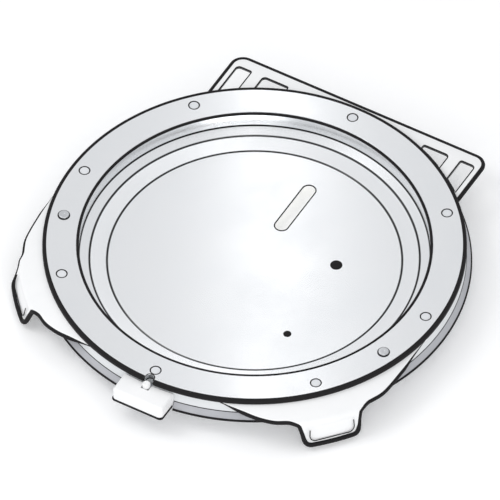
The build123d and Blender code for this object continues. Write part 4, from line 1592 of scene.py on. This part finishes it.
    def build_welds(self) -> None:
        """Spot welds round the pocket's flange, seen from below."""
        low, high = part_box("key_pocket")
        middle = (low + high) / 2
        wide, tall, sunk = 3.2 * MM, 0.5 * MM, 0.2 * MM
        turns = [math.pi / 2 * k / 6 for k in range(7)]
        section = [(wide * math.cos(t), -tall * math.sin(t)) for t in turns] + [(0.0, sunk), (wide, sunk)]
        values = {
            "Count": self.welds,
            "Start": (middle.x, middle.y, high.z - self.sheet),
            "Step": (0.0, 0.0, 0.0),
            "Radius": high.x - 5.5 * MM,
        }
        zinc = self.shop.paint["zinc_plate"]
        piece = repeat("pocket_spot_welds", self.shop.row, lathe(section, 20), values, zinc)
        self.shop.fit(piece, "cover", "pan_aluminium")


# ---------------------------------------------------------------- studio


@dataclass
class Studio:
    """Floor, light and camera."""

    azimuth: float = 30.0
    elevation: float = math.degrees(math.asin(0.741))
    lens: float = 1600.0
    sensor: float = 36.0
    view_width: float = 0.8465
    aim_right: float = -7.8 * MM
    aim_up: float = -11.5 * MM
    strip_right: float = 38.0 * MM
    sky_strength: float = 0.79
    floor_glow: float = 0.13

    def axes(self) -> tuple[Vector, Vector, Vector]:
        """Works out which way the camera looks.

        Returns:
            Its right, its up and the direction behind it.
        """
        a, e = math.radians(self.azimuth), math.radians(self.elevation)
        back = Vector((math.sin(a) * math.cos(e), -math.cos(a) * math.cos(e), math.sin(e)))
        right = Vector((math.cos(a), math.sin(a), 0.0))
        return right, back.cross(right), back

    def build(self) -> None:
        """Sets the camera, the floor, the lights and the sky."""
        right, up, back = self.axes()
        centre = Vector((0.0, 0.0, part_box("clamp_ring")[1].z))
        data = bpy.data.cameras.new("camera")
        data.lens, data.sensor_width = self.lens, self.sensor
        camera = new_object("camera", data)
        distance = self.view_width * self.lens / self.sensor
        data.clip_end = 4 * distance
        camera.location = centre + right * self.aim_right + up * self.aim_up + back * distance
        camera.rotation_euler = back.to_track_quat("Z", "Y").to_euler()
        bpy.context.scene.camera = camera
        self.build_floor()
        self.build_lights(centre, right, back)

    def build_floor(self) -> None:
        """A wide pale floor at the object's lowest point."""
        work = bmesh.new()
        bmesh.ops.create_grid(work, x_segments=1, y_segments=1, size=12.0)
        mesh = bpy.data.meshes.new("floor")
        work.to_mesh(mesh)
        work.free()
        for vert in mesh.vertices:
            vert.co.z = CAD_BOX[0].z - 0.05 * MM
        material = bpy.data.materials.new("studio_floor")
        material.use_nodes = True
        shader = material.node_tree.nodes["Principled BSDF"]
        shader.inputs["Base Color"].default_value = linear("#FAFAFA")
        shader.inputs["Roughness"].default_value = 0.9
        shader.inputs["Specular IOR Level"].default_value = 0.1
        shader.inputs["Emission Color"].default_value = linear("#FFFFFF")
        shader.inputs["Emission Strength"].default_value = self.floor_glow
        floor = new_piece("floor", mesh, material)

    def area(
        self,
        name: str,
        spot: Vector,
        aim: Vector,
        size: Point,
        power: float,
        spin: Vector | None = None,
    ) -> None:
        """Adds a soft rectangular light.

        Args:
            name: the light's name.
            spot: its place.
            aim: the point that it faces.
            size: its width and height.
            power: watts.
            spin: the direction of its width.
        """
        data = bpy.data.lights.new(name, "AREA")
        data.shape = "RECTANGLE"
        data.size, data.size_y = size
        data.energy = power
        light = new_object(name, data)
        light.location = spot
        back = (spot - aim).normalized()
        if spin is None:
            light.rotation_euler = back.to_track_quat("Z", "Y").to_euler()
        else:
            across = (spin - back * spin.dot(back)).normalized()
            turned = Matrix((across, back.cross(across), back)).transposed()
            light.matrix_world = Matrix.Translation(spot) @ turned.to_4x4()
        light.visible_camera = False

    def build_lights(self, centre: Vector, right: Vector, back: Vector) -> None:
        """A bright even sky, the strip that the bright metal mirrors, and soft key and fill lights.

        Args:
            centre: the middle of the ring's top face.
            right: the camera's right.
            back: the direction towards the camera.
        """
        world = bpy.data.worlds.new("sky")
        world.use_nodes = True
        sky = world.node_tree.nodes["Background"]
        sky.inputs["Color"].default_value = (0.97, 0.98, 1.0, 1.0)
        sky.inputs["Strength"].default_value = self.sky_strength
        bpy.context.scene.world = world
        mirrored = Vector((-back.x, -back.y, back.z))
        streak = centre + right * self.strip_right
        self.area("strip", streak + mirrored * 1.7, streak, (0.08, 2.6), 0.85, right)
        self.area("key", centre + Vector((-1.3, -0.7, 2.0)), centre, (1.2, 1.2), 12.0)
        self.area("fill", centre + Vector((1.1, -1.5, 0.9)), centre, (1.6, 1.0), 8.0)
        bpy.context.scene.view_settings.view_transform = "Standard"


def main() -> None:
    """Builds every sub-assembly in order."""
    logging.basicConfig(level=logging.INFO, format="%(name)s: %(message)s")
    shop = Workshop()
    builders: list[Callable[[], None]] = [
        RingPack(shop).build,
        Frame(shop).build,
        Ear(shop, -1).build,
        Ear(shop, 1).build,
        RearGrid(shop).build,
        Latch(shop).build,
        Cover(shop).build,
        Studio().build,
    ]
    for build in builders:
        build()


if __name__ == "__main__":
    main()
